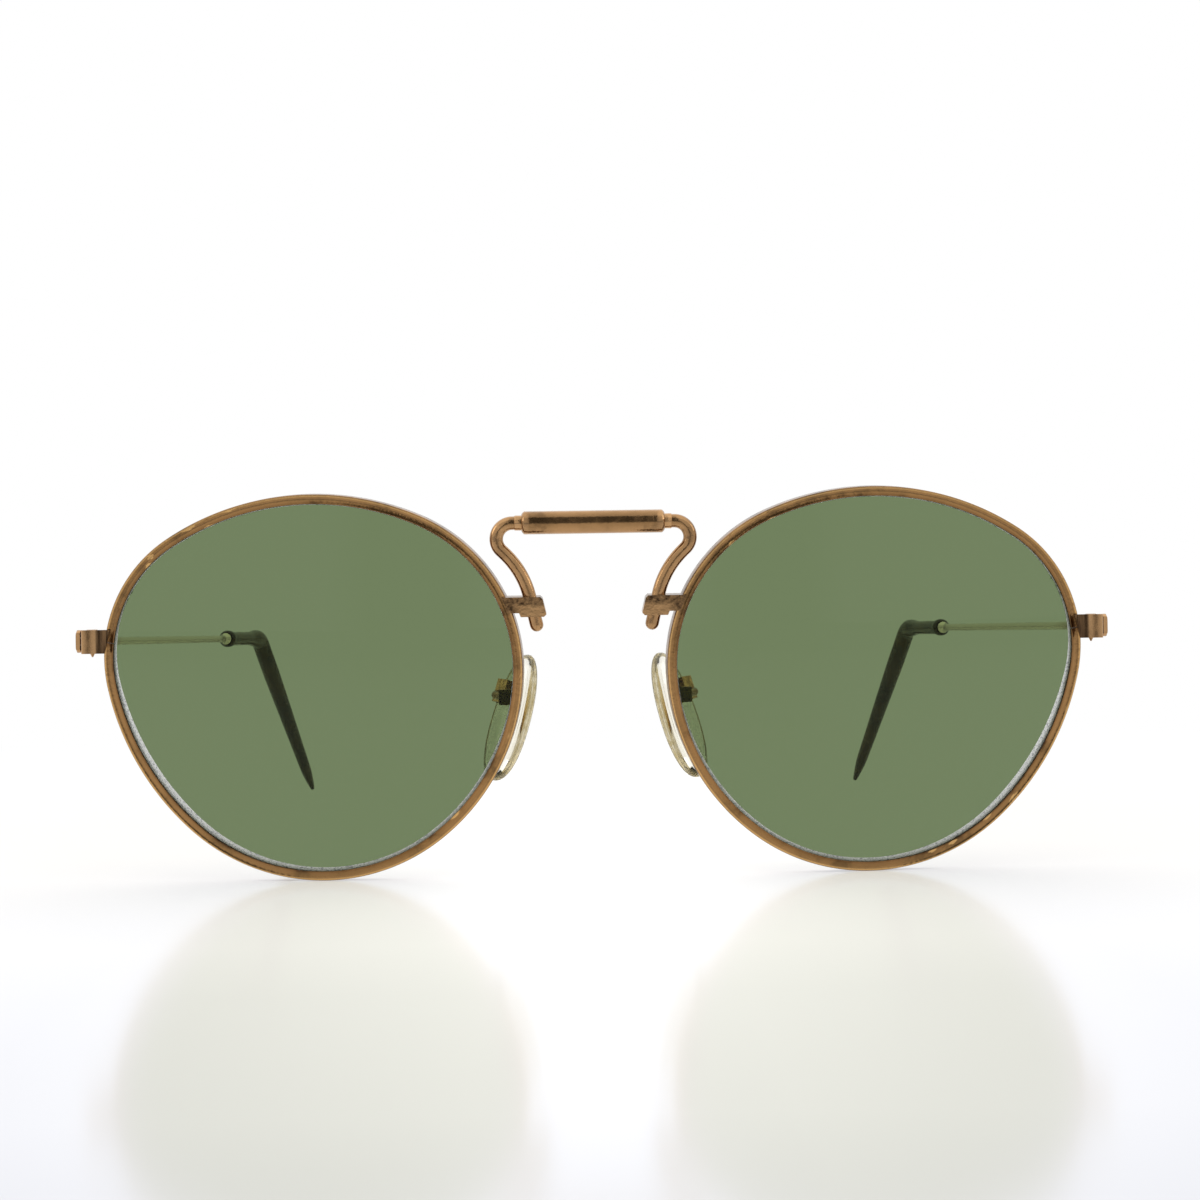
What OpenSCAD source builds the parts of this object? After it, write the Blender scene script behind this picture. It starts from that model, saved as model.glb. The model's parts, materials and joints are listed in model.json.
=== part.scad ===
// Round wire sunglasses with a high bridge, standing open on the two rims and the two temple tips.
// Millimetres. +Z is up, the front of the lenses faces -Y, the temples run back to +Y.
// Left is the wearer's left, at +X. Every right piece is the mirror image of its left one.

/* [Lenses] */
// Width of a lens from edge point to edge point
lens_w = 52; // [50:0.1:54]
// Height of a lens from edge point to edge point
lens_h = 47.8; // [46:0.1:49.5]
// Radius of the outline at the upper corner beside the temple
temple_corner_r = 17.6; // [16.5:0.1:18.8]
// Radius of the outline at the upper corner beside the nose
nose_corner_r = 20.4; // [19.4:0.1:21.2]
// Radius of the front face, seen from above
lens_curve_r = 118; // [100:1:140]
// Radius of the front face, seen from the side
lens_curve_side_r = 99; // [85:1:115]
// Thickness of the glass
lens_t = 2; // [1.6:0.1:2.3]
// Height of the pointed edge that sits in the rim groove
bevel_h = 0.6; // [0.5:0.05:0.7]
// Width of the pointed edge at its foot
bevel_w = 1.3; // [1.1:0.1:1.4]
// Mean width of the ground facet round the front face
facet_w = 0.32; // [0.2:0.02:0.45]

/* [Rims] */
// Thickness of the rim seen from the front
rim_t = 1.2; // [1.1:0.05:1.4]
// Depth of the rim from front to back
rim_depth = 2.2; // [2:0.1:2.6]
// Depth of the groove that holds the lens
groove_d = 0.5; // [0.4:0.05:0.55]
// Chamfer along the two outer edges of the rim
rim_chamfer = 0.2; // [0.1:0.05:0.3]
// Depth of the shallow channel along the front of the rim
channel_d = 0.14; // [0.1:0.02:0.2]
// Slit where the rim opens to take the lens
rim_slit = 0.16; // [0.1:0.02:0.3]
// Space between the two rims at the nose
nose_gap = 18; // [16:0.1:21]
// Turn of each rim round the face
wrap = 5; // [2:0.5:7]
// Forward lean of the front as it stands
lean = 5; // [2:0.5:8]

/* [Bridge] */
// Height of the bridge over the middle of the lenses
bridge_h = 20.7; // [18:0.1:23]
// Diameter of the bridge wire
bridge_wire_d = 1.7; // [1.5:0.05:1.9]
// Length of the sleeve over the middle of the wire
sleeve_len = 17.9; // [14:0.1:19]
// Outer diameter of the sleeve
sleeve_d = 2.9; // [2.5:0.1:3.3]
// Bare wire between the sleeve and the elbow
elbow_stub = 1.2; // [1:0.1:1.6]
// Radius of the elbow along the middle of the wire
elbow_r = 2; // [1.7:0.1:2.3]
// Angle from upright at which the arm leaves the elbow
arm_splay = 46.4; // [44:0.2:50]
// Angle from upright at which the arm enters its lug
arm_end_lean = 13; // [10:0.5:16]
// Distance from the middle to the arm where it enters the lug
lug_reach = 8.1; // [7.8:0.1:8.3]
// Height of the lug
lug_h = 2.5; // [2:0.1:3]
// Depth of the lug from front to back
lug_depth = 2.6; // [2.3:0.1:3]
// Metal between the arm and the inner end of the lug
lug_wall = 0.8; // [0.6:0.1:1]
// Length of the round pin end below the lug
pin_out = 2; // [1.5:0.1:2.5]

/* [Endpieces and hinges] */
// Height of the endpieces over the middle of the lenses, at the rim
endpiece_h = 6.1; // [4:0.1:8]
// Height of the strap
strap_h = 3; // [2.8:0.1:3.4]
// Thickness of the strap
strap_t = 1; // [0.9:0.05:1.2]
// How far the strap reaches out from the rim
strap_reach = 3; // [2.9:0.05:3.3]
// Lap of the strap foot over the front of the rim
strap_lap = 0.7; // [0.5:0.05:0.8]
// Distance from the rim out to the hinge screw
hinge_out = 2.45; // [2.4:0.05:2.8]
// Distance from the middle of the rim back to the hinge screw
hinge_back = 3.2; // [3:0.1:4]
// Radius of the hinge knuckles
knuckle_r = 0.9; // [0.85:0.05:1]
// Height of the three knuckles together
knuckles_h = 2.6; // [2.4:0.1:2.8]
// Height of the middle knuckle
middle_knuckle_h = 1; // [0.8:0.1:1.1]
// Diameter of the hinge screw
hinge_screw_d = 0.9; // [0.8:0.05:1]
// Length of its pointed end below the knuckles
screw_point = 0.75; // [0.5:0.05:1]
// Free play of the hinge, each side and all round the screw
hinge_play = 0.05; // [0.03:0.01:0.08]
// Length of the closing blocks out from the rim
block_len = 1.8; // [1.7:0.05:1.85]
// Depth of the closing blocks
block_depth = 2; // [1.8:0.1:2.2]
// Diameter of the closing screw
closing_screw_d = 0.8; // [0.7:0.05:0.9]

/* [Temples] */
// Diameter of the temple wire
temple_wire_d = 1.1; // [1:0.05:1.3]
// Distance from the hinge screw to the plastic tip
temple_len = 78; // [70:0.5:84]
// Turn of the open temple towards the head
toe_in = 5; // [3:0.5:7]
// Slope of the open temple down to the back
temple_slope = 1.2; // [0.5:0.1:3]
// Height of the flattened butt
butt_h = 2.9; // [2.6:0.1:3.2]
// Thickness of the flattened butt
butt_t = 0.55; // [0.5:0.05:0.7]
// How far the butt reaches in front of the hinge screw
butt_front = 2; // [1.8:0.1:2.2]
// Length of the butt behind the hinge screw, before it draws down to the wire
butt_len = 6; // [5.5:0.1:8]
// Length over which the butt draws down to the wire
butt_taper = 7; // [5:0.5:10]
// Space between the hinge knuckle and the butt
butt_gap = 0.15; // [0.12:0.01:0.2]
// Thickness of the hinge leaf inside the butt
leaf_t = 0.55; // [0.5:0.05:0.6]
// Diameter of the hinge rivets
rivet_d = 0.5; // [0.4:0.05:0.6]
// Diameter of the rivet heads
rivet_head_d = 0.8; // [0.7:0.05:1]
// Spacing of the two rivets along the butt
rivet_pitch = 1.9; // [1.7:0.1:2.1]

/* [Temple tips] */
// Diameter of the collar at the front of the tip
collar_d = 2.7; // [2.5:0.1:3]
// Length of the collar
collar_len = 1.6; // [1.4:0.1:2]
// Diameter of the tip behind the collar
tip_neck_d = 2.2; // [2:0.1:2.4]
// Diameter of the tip at the bend
tip_d = 2.8; // [2.6:0.1:3]
// Distance from the front of the tip to the bend
tip_straight = 16; // [14:0.5:20]
// Further turn of the tip towards the head
tip_toe_in = 5; // [3:0.5:7]
// Angle through which the tip is bent down
tip_drop = 41; // [35:0.5:50]
// Radius of the bend along the middle of the tip
tip_bend_r = 4.5; // [4:0.1:6]
// Length of the round stretch below the bend
tip_round_len = 8; // [6:0.5:10]
// Length of the pointed end
tip_point_len = 7; // [5:0.5:8]
// Diameter where the pointed end starts
tip_point_d = 1.9; // [1.7:0.1:2.1]
// Radius of the very end
tip_end_r = 0.35; // [0.25:0.05:0.4]
// Length of wire inside the tip below its bend
core_drop = 20; // [12:1:24]

/* [Nose pads] */
// Height of a pad
pad_h = 16.9; // [15:0.1:18]
// Width of a pad
pad_w = 7; // [6.5:0.1:7.5]
// Thickness of a pad
pad_t = 1.7; // [1.5:0.1:2]
// Lean of the pads, apart towards the bottom
pad_lean = 22; // [16:1:26]
// Turn of the pads, apart towards the back
pad_splay = 42; // [35:1:48]
// Distance from the pivot down to the middle of the pad
pad_drop = 2.8; // [2:0.1:3.5]
// Diameter of the pad arm wire
arm_d = 1; // [0.9:0.05:1.1]
// Distance from the back of the rim to the bend in the arm
arm_back = 2.4; // [2.2:0.1:3.4]
// Tilt of the arm away from the nose as it leaves its foot
arm_tilt = 28; // [20:1:32]
// Radius of the bend in the arm
arm_bend_r = 1.2; // [1.1:0.1:1.4]
// Distance from the middle of the rim out to the arm
arm_out = 1.9; // [1.7:0.1:2.3]
// Height of the arm below the middle of the lenses
arm_low = 1.4; // [0.8:0.1:2.2]
// Thickness of the cheeks of the pad box
box_wall = 0.35; // [0.3:0.05:0.4]
// Height of the pad box
box_h = 3; // [2.6:0.1:3.4]
// Width of the pad stem between the cheeks
stem_w = 1; // [0.9:0.05:1.2]
// Radius of the pad stem round the pad screw
stem_r = 0.75; // [0.7:0.05:0.85]
// Diameter of the pad screw
pad_screw_d = 0.6; // [0.5:0.05:0.7]
// Free play of the pad in its box
pad_play = 0.08; // [0.05:0.01:0.1]

/* [Hidden] */
$fn = 72;
gold = [0.66, 0.47, 0.29];
worn_gold = [0.5, 0.36, 0.22];
glass = [0.33, 0.42, 0.26, 0.8];
clear_plastic = [0.86, 0.83, 0.7, 0.7];
brown_plastic = [0.2, 0.17, 0.1];
// Clearance between fixed pieces that are soldered or pressed together
seat = 0.01;
// Clearance between the lens edge and the bottom of the rim groove
groove_gap = 0.05;
// The outline is a loop of six arcs that meet without a corner. Every second arc is a hair
// fuller and the others run a little into it, so that each joint is a clean step.
hair = 0.005;
run_in = 0.1;

// Outline of a lens, from its middle, x to the temple and y up.
// Each arc runs from one of these directions to the next: bottom, lower temple side,
// temple corner, brow, nose corner, nose side.
turns = [-127, -47, -11, 57, 113, 183, 233];
// The brow radius follows from the width of the upper half.
brow_r = (lens_w - temple_corner_r * (1 - cos(turns[3])) - nose_corner_r * (1 + cos(turns[4])))
    / (cos(turns[3]) - cos(turns[4]));
// The height down the temple side and the nose side, less what the corners and brow take.
temple_rest = lens_h - temple_corner_r * (sin(turns[3]) - sin(turns[2])) - brow_r * (1 - sin(turns[3]));
nose_rest = lens_h - nose_corner_r * (sin(turns[4]) - sin(turns[5])) - brow_r * (1 - sin(turns[4]));
// The bottom radius follows from the width of the lower half and both heights.
temple_share = (cos(turns[2]) - cos(turns[1])) / (sin(turns[2]) - sin(turns[1]));
nose_share = (cos(turns[6]) - cos(turns[5])) / (sin(turns[5]) - sin(turns[6]));
bottom_r = (lens_w - nose_corner_r * (1 + cos(turns[5])) - temple_corner_r * (1 - cos(turns[2]))
    - nose_share * nose_rest - temple_share * temple_rest)
    / (cos(turns[1]) - cos(turns[0]) - nose_share * (1 + sin(turns[6])) - temple_share * (1 + sin(turns[1])));
temple_side_r = (temple_rest - bottom_r * (1 + sin(turns[1]))) / (sin(turns[2]) - sin(turns[1]));
nose_side_r = (nose_rest - bottom_r * (1 + sin(turns[6]))) / (sin(turns[5]) - sin(turns[6]));
arc_r = [bottom_r, temple_side_r, temple_corner_r, brow_r, nose_corner_r, nose_side_r];
function toward(a) = [cos(a), sin(a)];
function arc_centres(i, c) =
    i == 5 ? [c] : concat([c], arc_centres(i + 1, c + (arc_r[i] - arc_r[i + 1]) * toward(turns[i + 1])));
loose_c = arc_centres(0, [0, 0]);
loose_mid = [(loose_c[2].x + arc_r[2] + loose_c[4].x - arc_r[4]) / 2,
    (loose_c[3].y + arc_r[3] + loose_c[0].y - arc_r[0]) / 2];
arc_c = [for (c = loose_c) c - loose_mid];

// The rim
rim_out = rim_t - groove_d;
rim_reach = lens_w / 2 + rim_out;
// Middle of the rim between its lip and its outside, from the edge of the lens
rim_mid = rim_out - rim_t / 2;
// Reach of the outside of the rim, from the middle of the lens, at a height on the temple side
function rim_side(h) = arc_c[2].x + sqrt(pow(temple_corner_r + rim_out, 2) - pow(h - arc_c[2].y, 2));
// Distance of the rim's outside from the middle of the nose, at a height. The nose corner takes
// over from the nose side where its arc starts.
function nose_arc(h) = h > arc_c[4].y + (nose_corner_r + rim_out) * sin(turns[5]) ? 4 : 5;
function nose_edge(h) = let (i = nose_arc(h))
    nose_gap / 2 + rim_reach + arc_c[i].x - sqrt(pow(arc_r[i] + rim_out, 2) - pow(h - arc_c[i].y, 2));

// Standing height of the middle of the lenses: the lowest point of a leaning, turned rim is on the floor.
down = [-sin(lean) * sin(wrap), -sin(lean) * cos(wrap), -cos(lean)];
lens_z = arc_c[0].x * down.x + arc_c[0].y * down.z
    + (bottom_r + rim_out) * sqrt(down.x * down.x + down.z * down.z)
    + (rim_depth / 2 - rim_chamfer) * abs(down.y) - rim_reach * sin(wrap) * sin(lean);

// The rim's outside at the endpiece, as it stands
end_flat = [nose_gap / 2 + (rim_reach + rim_side(endpiece_h)) * cos(wrap),
    (rim_reach + rim_side(endpiece_h)) * sin(wrap)];
end_at = [end_flat.x, end_flat.y * cos(lean) - endpiece_h * sin(lean),
    lens_z + end_flat.y * sin(lean) + endpiece_h * cos(lean)];
hinge_at = end_at + [hinge_out, hinge_back, 0];
strap_front = -rim_depth / 2 - 0.6;
strap_back = strap_front + strap_t;
// The strap is thicker beside the rim, out to here and by this much.
strap_foot = 1.2;
foot_extra = 0.5;
// Screw heads: how far they stand out round the screw, and their heights
head_out = 0.25;
closing_head_h = 0.35;
hinge_head_h = 0.18;
side_knuckle_h = (knuckles_h - middle_knuckle_h) / 2;
block_top = knuckles_h / 2 + 0.1;
butt_in = knuckle_r + butt_gap;
butt_mid = butt_in + butt_t / 2;
first_rivet = knuckle_r + 0.9;

// The wire turns a little towards the head just in front of the tip.
toe_bend_r = 25;
flare_len = 1.6;
// Rounding of the collar
collar_edge = 0.35;
tip_at = [-toe_bend_r * (1 - cos(tip_toe_in)) - flare_len * sin(tip_toe_in),
    temple_len + toe_bend_r * sin(tip_toe_in) + flare_len * cos(tip_toe_in)];
// The tip ends touch the floor, and that sets the length of the last taper.
tip_fall = sin(temple_slope) * cos(tip_toe_in);
leg_fall = cos(temple_slope) * sin(tip_drop) + tip_fall * cos(tip_drop);
bend_end_z = hinge_at.z - tip_at.y * sin(temple_slope)
    - (tip_straight + tip_bend_r * sin(tip_drop)) * tip_fall
    - tip_bend_r * (1 - cos(tip_drop)) * cos(temple_slope);
tip_leg = (bend_end_z - tip_end_r) / leg_fall;

// The pads hang on the arms.
arm_x = nose_edge(-arm_low) + rim_t / 2 + arm_out;
arm_turn = 90 - pad_splay;
box_back = stem_r + 0.1 + box_wall;
// The arm starts inside its foot, this far behind the rim.
arm_root = 0.85;
arm_run = arm_back - arm_root;
arm_end = [arm_x + arm_run * tan(arm_tilt) + arm_bend_r * (cos(arm_turn) - cos(arm_tilt)),
    rim_depth / 2 + arm_back + arm_bend_r * (sin(arm_turn) + sin(arm_tilt))];
box_seat = 0.1;
pad_pivot = [arm_end.x - (box_back + box_seat) * sin(arm_turn),
    arm_end.y + (box_back + box_seat) * cos(arm_turn), -arm_low];
pad_back = stem_r + 0.4;

// Middle of the whole object from front to back
front_most = 0.65 - (lens_h / 2 + rim_out) * sin(lean) - rim_depth / 2;
tip_reach = tip_straight + tip_bend_r * sin(tip_drop) + tip_leg * cos(tip_drop);
back_most = hinge_at.y + tip_at.y * cos(toe_in) + tip_at.x * sin(toe_in) + butt_mid * sin(toe_in)
    + tip_reach * cos(toe_in + tip_toe_in) - tip_leg * sin(tip_drop) * sin(temple_slope) + tip_end_r;
centre_y = (front_most + back_most) / 2;

module standing() translate([0, -centre_y, 0]) children();
module front() standing() translate([0, 0, lens_z]) rotate([lean, 0, 0]) children();
module eye() front() translate([nose_gap / 2, 0, 0]) rotate([0, 0, wrap])
    translate([rim_reach, 0, 0]) children();
module endpiece_place() standing() translate(end_at) children();
module hinge_place() standing() translate(hinge_at) children();
module temple_place() hinge_place() rotate([0, 0, toe_in]) children();
module sloping() rotate([-temple_slope, 0, 0]) children();
module right() mirror([1, 0, 0]) children();

// Sweeps a profile round the outline. The profile's x is away from the edge of the lens
// and its y is forward. It takes the hair by which this arc is fuller.
module round_eye() {
    rotate([90, 0, 0])
        for (i = [0 : 5]) {
            fuller = i % 2 == 0;
            over = fuller ? 0 : run_in / arc_r[i] * 180 / PI;
            $fuller = fuller ? hair : 0;
            translate([arc_c[i].x, arc_c[i].y, 0])
                rotate([0, 0, turns[i] - over])
                    rotate_extrude(angle = turns[i + 1] - turns[i] + 2 * over)
                        translate([arc_r[i], 0]) children();
        }
}

module rim_profile() {
    g = $fuller;
    out = rim_out + g;
    lip = -groove_d - g;
    half = rim_depth / 2 + g;
    mouth = bevel_w / 2 + groove_gap - g;
    channel_r = 1;
    difference() {
        polygon([[out - rim_chamfer, -half], [out, rim_chamfer - half], [out, half - rim_chamfer],
            [out - rim_chamfer, half], [lip, half], [lip, mouth], [groove_gap - 1.5 * g, 0],
            [lip, -mouth], [lip, -half]]);
        translate([rim_mid, rim_depth / 2 - channel_d + channel_r]) circle(channel_r - g);
    }
}

// A wire along its own +Z. Each step is [length, 0] or [angle, radius], and a third number
// turns the path round itself before the step. A bend goes toward +X. It is a hair fuller
// than the straight stretches, which run a little into it.
module wire(steps, r, i = 0) {
    if (i < len(steps)) {
        s = steps[i];
        rotate([0, 0, len(s) > 2 ? s[2] : 0]) {
            if (s[1] == 0) {
                before = i > 0 ? run_in : 0;
                after = i < len(steps) - 1 ? run_in : 0;
                translate([0, 0, -before]) cylinder(r = r, h = s[0] + before + after);
                translate([0, 0, s[0]]) wire(steps, r, i + 1);
            } else {
                translate([s[1], 0, 0]) {
                    rotate([90, 0, 180]) rotate_extrude(angle = s[0]) translate([s[1], 0]) circle(r + hair);
                    rotate([0, s[0], 0]) translate([-s[1], 0, 0]) wire(steps, r, i + 1);
                }
            }
        }
    }
}

module rim() color(gold) difference() {
    eye() round_eye() rim_profile();
    endpiece_place() translate([-rim_t - 1, -rim_depth, -rim_slit / 2])
        cube([rim_t + 2, 2 * rim_depth, rim_slit]);
}

// What the rim takes up, as a cutter for the pieces that are brazed to its outside
module rim_body() eye() round_eye() {
    g = $fuller + seat;
    out = rim_out + g;
    half = rim_depth / 2 + g;
    polygon([[out - rim_chamfer, -half], [out, rim_chamfer - half], [out, half - rim_chamfer],
        [out - rim_chamfer, half], [-groove_d - g, half], [-groove_d - g, -half]]);
}

// Radius of the round blank that the lens is ground from
blank_r = max(lens_w, lens_h) / 2 + 1.5;

// The edge is ground all round: a facet, the point that sits in the groove, and the back.
module ground_away() {
    g = $fuller;
    foot = -bevel_h - g;
    deep = 6;
    // Wide enough to take the whole blank away outside the edge
    wide = blank_r / 2;
    up = 1.6;
    top = bevel_w / 2 + up;
    polygon([[foot - up, top], [foot, bevel_w / 2], [-g, 0], [foot, -bevel_w / 2], [foot, -deep - g],
        [wide + g, -deep - g], [wide + g, top + g], [foot - up, top + g]]);
}

// A barrel with the curves of a lens face, lying behind its frontmost line
module face_ball(inset) translate([0, lens_curve_r, 0]) rotate_extrude() intersection() {
    translate([lens_curve_r - lens_curve_side_r, 0]) circle(lens_curve_side_r - inset);
    translate([lens_curve_r / 2, -lens_curve_r / 2]) square(lens_curve_r);
}

module lens() color(glass) eye() {
    edge_r = lens_w / 2 - bevel_h;
    sag = lens_curve_r - sqrt(lens_curve_r * lens_curve_r - edge_r * edge_r);
    crown = bevel_w / 2 + facet_w * 0.8 + sag;
    // The face bulges most a little below the middle and towards the temple,
    // so that the facet is widest there.
    off = [0.85, -0.55];
    difference() {
        intersection() {
            rotate([90, 0, 0]) translate([0, 0, -4]) cylinder(r = blank_r, h = 10);
            translate([off.x, -crown, off.y]) face_ball(0);
        }
        translate([off.x, -crown, off.y]) face_ball(lens_t);
        round_eye() ground_away();
    }
}

// A short straight link joins the elbow to the arm.
link = 0.4;
arm_top = [sleeve_len / 2 + elbow_stub + elbow_r * cos(arm_splay) - link * sin(arm_splay),
    bridge_h - elbow_r * (1 + sin(arm_splay)) - link * cos(arm_splay)];
arm_r = (arm_top.x - lug_reach) / (cos(arm_end_lean) - cos(arm_splay));
lug_top = arm_top.y - arm_r * (sin(arm_splay) - sin(arm_end_lean));
through_lug = lug_h / cos(arm_end_lean);

module bridge_half(r) {
    half = sleeve_len / 2 + elbow_stub;
    translate([0, 0, bridge_h]) rotate([0, 90, 0])
        wire([[half, 0], [90 + arm_splay, elbow_r], [link, 0], [arm_splay - arm_end_lean, arm_r, 180],
            [through_lug + pin_out - r, 0]], r);
}

module arm_in_lug() translate([lug_reach, 0, lug_top]) rotate([0, 180 + arm_end_lean, 0]) children();

module bridge_wire() color(gold) front() {
    r = bridge_wire_d / 2;
    ferrule_r = r + 0.1;
    ferrule_len = elbow_stub - 0.3;
    for (s = [0, 1]) mirror([s, 0, 0]) {
        bridge_half(r);
        arm_in_lug() translate([0, 0, through_lug + pin_out - r]) sphere(r - hair);
        translate([sleeve_len / 2 + seat, 0, bridge_h]) rotate([0, 90, 0])
            cylinder(r = ferrule_r, h = ferrule_len);
    }
}

module bridge_sleeve() color(gold) front() translate([0, 0, bridge_h]) rotate([0, 90, 0]) {
    r = sleeve_d / 2;
    bore = bridge_wire_d / 2 + seat;
    bevel = 0.35;
    end = sleeve_len / 2;
    rotate_extrude() polygon([[bore, -end], [r - bevel, -end], [r, bevel - end], [r, end - bevel],
        [r - bevel, end], [bore, end]]);
}

module bridge_lug() color(worn_gold) difference() {
    front() {
        inner = lug_reach - bridge_wire_d / 2 - lug_wall;
        corner = 0.3;
        slant = (lug_h - 2 * corner) * tan(arm_end_lean);
        // The lug is cut away below where it meets the rim.
        neck_len = 0.8;
        neck_rise = 0.5;
        low = nose_edge(lug_top - lug_h + neck_rise) + rim_t / 2;
        high = nose_edge(lug_top) + rim_t / 2;
        neck_x = nose_edge(lug_top - lug_h) - neck_len;
        translate([0, lug_depth / 2, lug_top - lug_h]) rotate([90, 0, 0]) linear_extrude(lug_depth)
            polygon([[inner - slant + corner, 0], [neck_x, 0], [neck_x + 0.2, neck_rise], [low, neck_rise],
                [high, lug_h], [inner + corner, lug_h], [inner, lug_h - corner], [inner - slant, corner]]);
    }
    front() arm_in_lug() translate([0, 0, -1]) cylinder(r = bridge_wire_d / 2 + seat, h = through_lug + 2);
    rim_body();
}

module pad_arm() color(gold) difference() {
    front() {
        r = arm_d / 2;
        rim_x = arm_x - arm_out;
        foot_h = 1.9;
        foot_lap = 0.35;
        foot_front = rim_depth / 2 - 0.3;
        foot_back = rim_depth / 2 + arm_root + 0.3;
        lens_clear = rim_depth / 2 + 0.45;
        difference() {
            union() {
                // The foot is brazed to the back of the rim and reaches behind the lens to the arm.
                translate([rim_x - foot_lap, foot_front, -arm_low - foot_h / 2])
                    cube([arm_out + foot_lap + r, foot_back - foot_front, foot_h]);
                translate([arm_x, rim_depth / 2 + arm_root, -arm_low]) rotate([-90, 0, -arm_tilt])
                    wire([[arm_run / cos(arm_tilt), 0], [arm_tilt + arm_turn, arm_bend_r, 180],
                        [box_back, 0]], r);
            }
            translate([rim_x + 0.2, foot_front - 1, -arm_low - foot_h])
                cube([arm_out + r + 1, lens_clear - foot_front + 1, 2 * foot_h]);
        }
    }
    rim_body();
    pad_place() translate([-box_back - seat, -2, -3]) cube([4, 4, 6]);
}

// At the pivot of the pad: x is to the nose, y is along the pad screw, z is up the pad.
module pad_place() front() translate(pad_pivot) rotate([0, 0, 180 - pad_splay]) mirror([0, 1, 0])
    rotate([0, pad_lean, 0]) children();

module pad_box() color(gold) pad_place() difference() {
    cheek_front = 0.65;
    inside = stem_w / 2 + pad_play;
    half = inside + box_wall;
    translate([-box_back, -half, -box_h / 2]) cube([box_back + cheek_front, 2 * half, box_h]);
    translate([box_wall - box_back, -inside, -box_h]) cube([2 * box_back, 2 * inside, 2 * box_h]);
    rotate([90, 0, 0]) cylinder(r = pad_screw_d / 2 + seat, h = 4, center = true);
}

// A flat screw head with a slot across it
module slotted_head(r, h) difference() {
    slot_w = 0.16;
    cylinder(r = r, h = h);
    translate([-r - 1, -slot_w / 2, h / 2]) cube([2 * r + 2, slot_w, h]);
}

module pad_screw() color(gold) pad_place() rotate([-90, 0, 0]) {
    r = pad_screw_d / 2;
    half = stem_w / 2 + pad_play + box_wall;
    translate([0, 0, -half]) cylinder(r = r, h = 2 * half + run_in);
    translate([0, 0, half + seat]) slotted_head(r + head_out, 0.3);
}

module nose_pad() color(clear_plastic) pad_place() {
    crown = 0.5;
    low_r = pad_w * 0.42;
    top_r = low_r * 0.86;
    edge_round = 0.45;
    // The edge band is thinner than the pad, and the crown covers part of its face.
    band_t = pad_t * 0.35;
    crown_share = 0.28;
    difference() {
        union() {
            // The pad is a rounded teardrop, fuller below, with a crowned face to the nose.
            translate([pad_back + pad_t / 2, 0, -pad_drop]) hull() {
                for (layer = [[0, band_t], [edge_round, pad_t]]) {
                    translate([0, 0, pad_h / 2 - low_r]) rotate([0, 90, 0])
                        cylinder(r = top_r - layer[0], h = layer[1], center = true, $fn = 48);
                    translate([0, 0, low_r - pad_h / 2]) rotate([0, 90, 0])
                        cylinder(r = low_r - layer[0], h = layer[1], center = true, $fn = 48);
                }
                rotate([0, 90, 0]) scale([pad_h * crown_share, pad_w * crown_share, 1])
                    cylinder(r = 1, h = pad_t + crown, center = true, $fn = 32);
            }
            rotate([90, 0, 0]) cylinder(r = stem_r, h = stem_w, center = true);
            translate([0, -stem_w / 2, -stem_r]) cube([pad_back + 0.4, stem_w, 2 * stem_r]);
        }
        rotate([90, 0, 0]) cylinder(r = pad_screw_d / 2 + pad_play / 2, h = 4, center = true);
    }
}

module endpiece() color(gold) difference() {
    endpiece_place() {
        half = strap_h / 2;
        end_round = 0.45;
        flat_end = strap_reach - end_round;
        foot_chamfer = 0.25;
        // The hollow between the foot and the flat
        hollow_r = 1.5;
        hollow_d = 0.25;
        hollow_x = 0.6;
        difference() {
            // Seen from above: the foot on the rim, a hollow, the flat and the rounded outer end.
            translate([0, 0, -half]) linear_extrude(strap_h) difference() {
                union() {
                    polygon([[-strap_lap, strap_front + foot_chamfer],
                        [foot_chamfer - strap_lap, strap_front], [flat_end, strap_front],
                        [flat_end, strap_back], [strap_foot, strap_back],
                        [strap_foot, strap_back + foot_extra], [-strap_lap, strap_back + foot_extra]]);
                    translate([flat_end, strap_front + end_round]) circle(end_round);
                    translate([flat_end, strap_front + end_round]) square([end_round, strap_t - end_round]);
                }
                translate([hollow_x, strap_front - hollow_r + hollow_d]) circle(hollow_r);
            }
            // The foot ends on a slant and laps furthest at its top.
            translate([-strap_lap, 0, half]) rotate([0, -14, 0]) translate([-3, -4, -strap_h - 1])
                cube([3, 8, strap_h + 2]);
        }
    }
    rim_body();
}

// One half of the closing block. The screw goes down through the upper one into the lower one.
module closing_block(up) color(gold) difference() {
    endpiece_place() difference() {
        // It reaches in as far as the lip of the rim and leaves the lens side free.
        inward = 0.8;
        low = up ? rim_slit / 2 : -block_top;
        translate([-inward, strap_back + seat, low])
            cube([inward + block_len, block_depth, block_top - rim_slit / 2]);
        // The strap's foot is thicker beside the rim.
        translate([-2, strap_back - 1, -block_top - 1])
            cube([2 + strap_foot + seat, 1 + foot_extra + seat, 2 * block_top + 2]);
        closing_screw_place() {
            translate([0, 0, -block_top - 1]) cylinder(r = closing_screw_d / 2 + seat, h = 2 * block_top + 2);
            translate([0, 0, block_top - closing_head_h])
                cylinder(r = closing_screw_d / 2 + head_out + seat, h = 1);
        }
    }
    rim_body();
}

module closing_screw_place() translate([block_len - 0.8, strap_back + block_depth / 2 + 0.1, 0]) children();

module closing_screw() color(gold) endpiece_place() closing_screw_place() {
    r = closing_screw_d / 2;
    translate([0, 0, -block_top]) cylinder(r = r, h = 2 * block_top - closing_head_h + run_in);
    translate([0, 0, block_top - closing_head_h + seat]) slotted_head(r + head_out, closing_head_h - seat);
}

module knuckle(low, high, bore) {
    difference() {
        translate([0, 0, low]) cylinder(r = knuckle_r, h = high - low);
        translate([0, 0, low - 1]) cylinder(r = bore, h = high - low + 2);
    }
}

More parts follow.
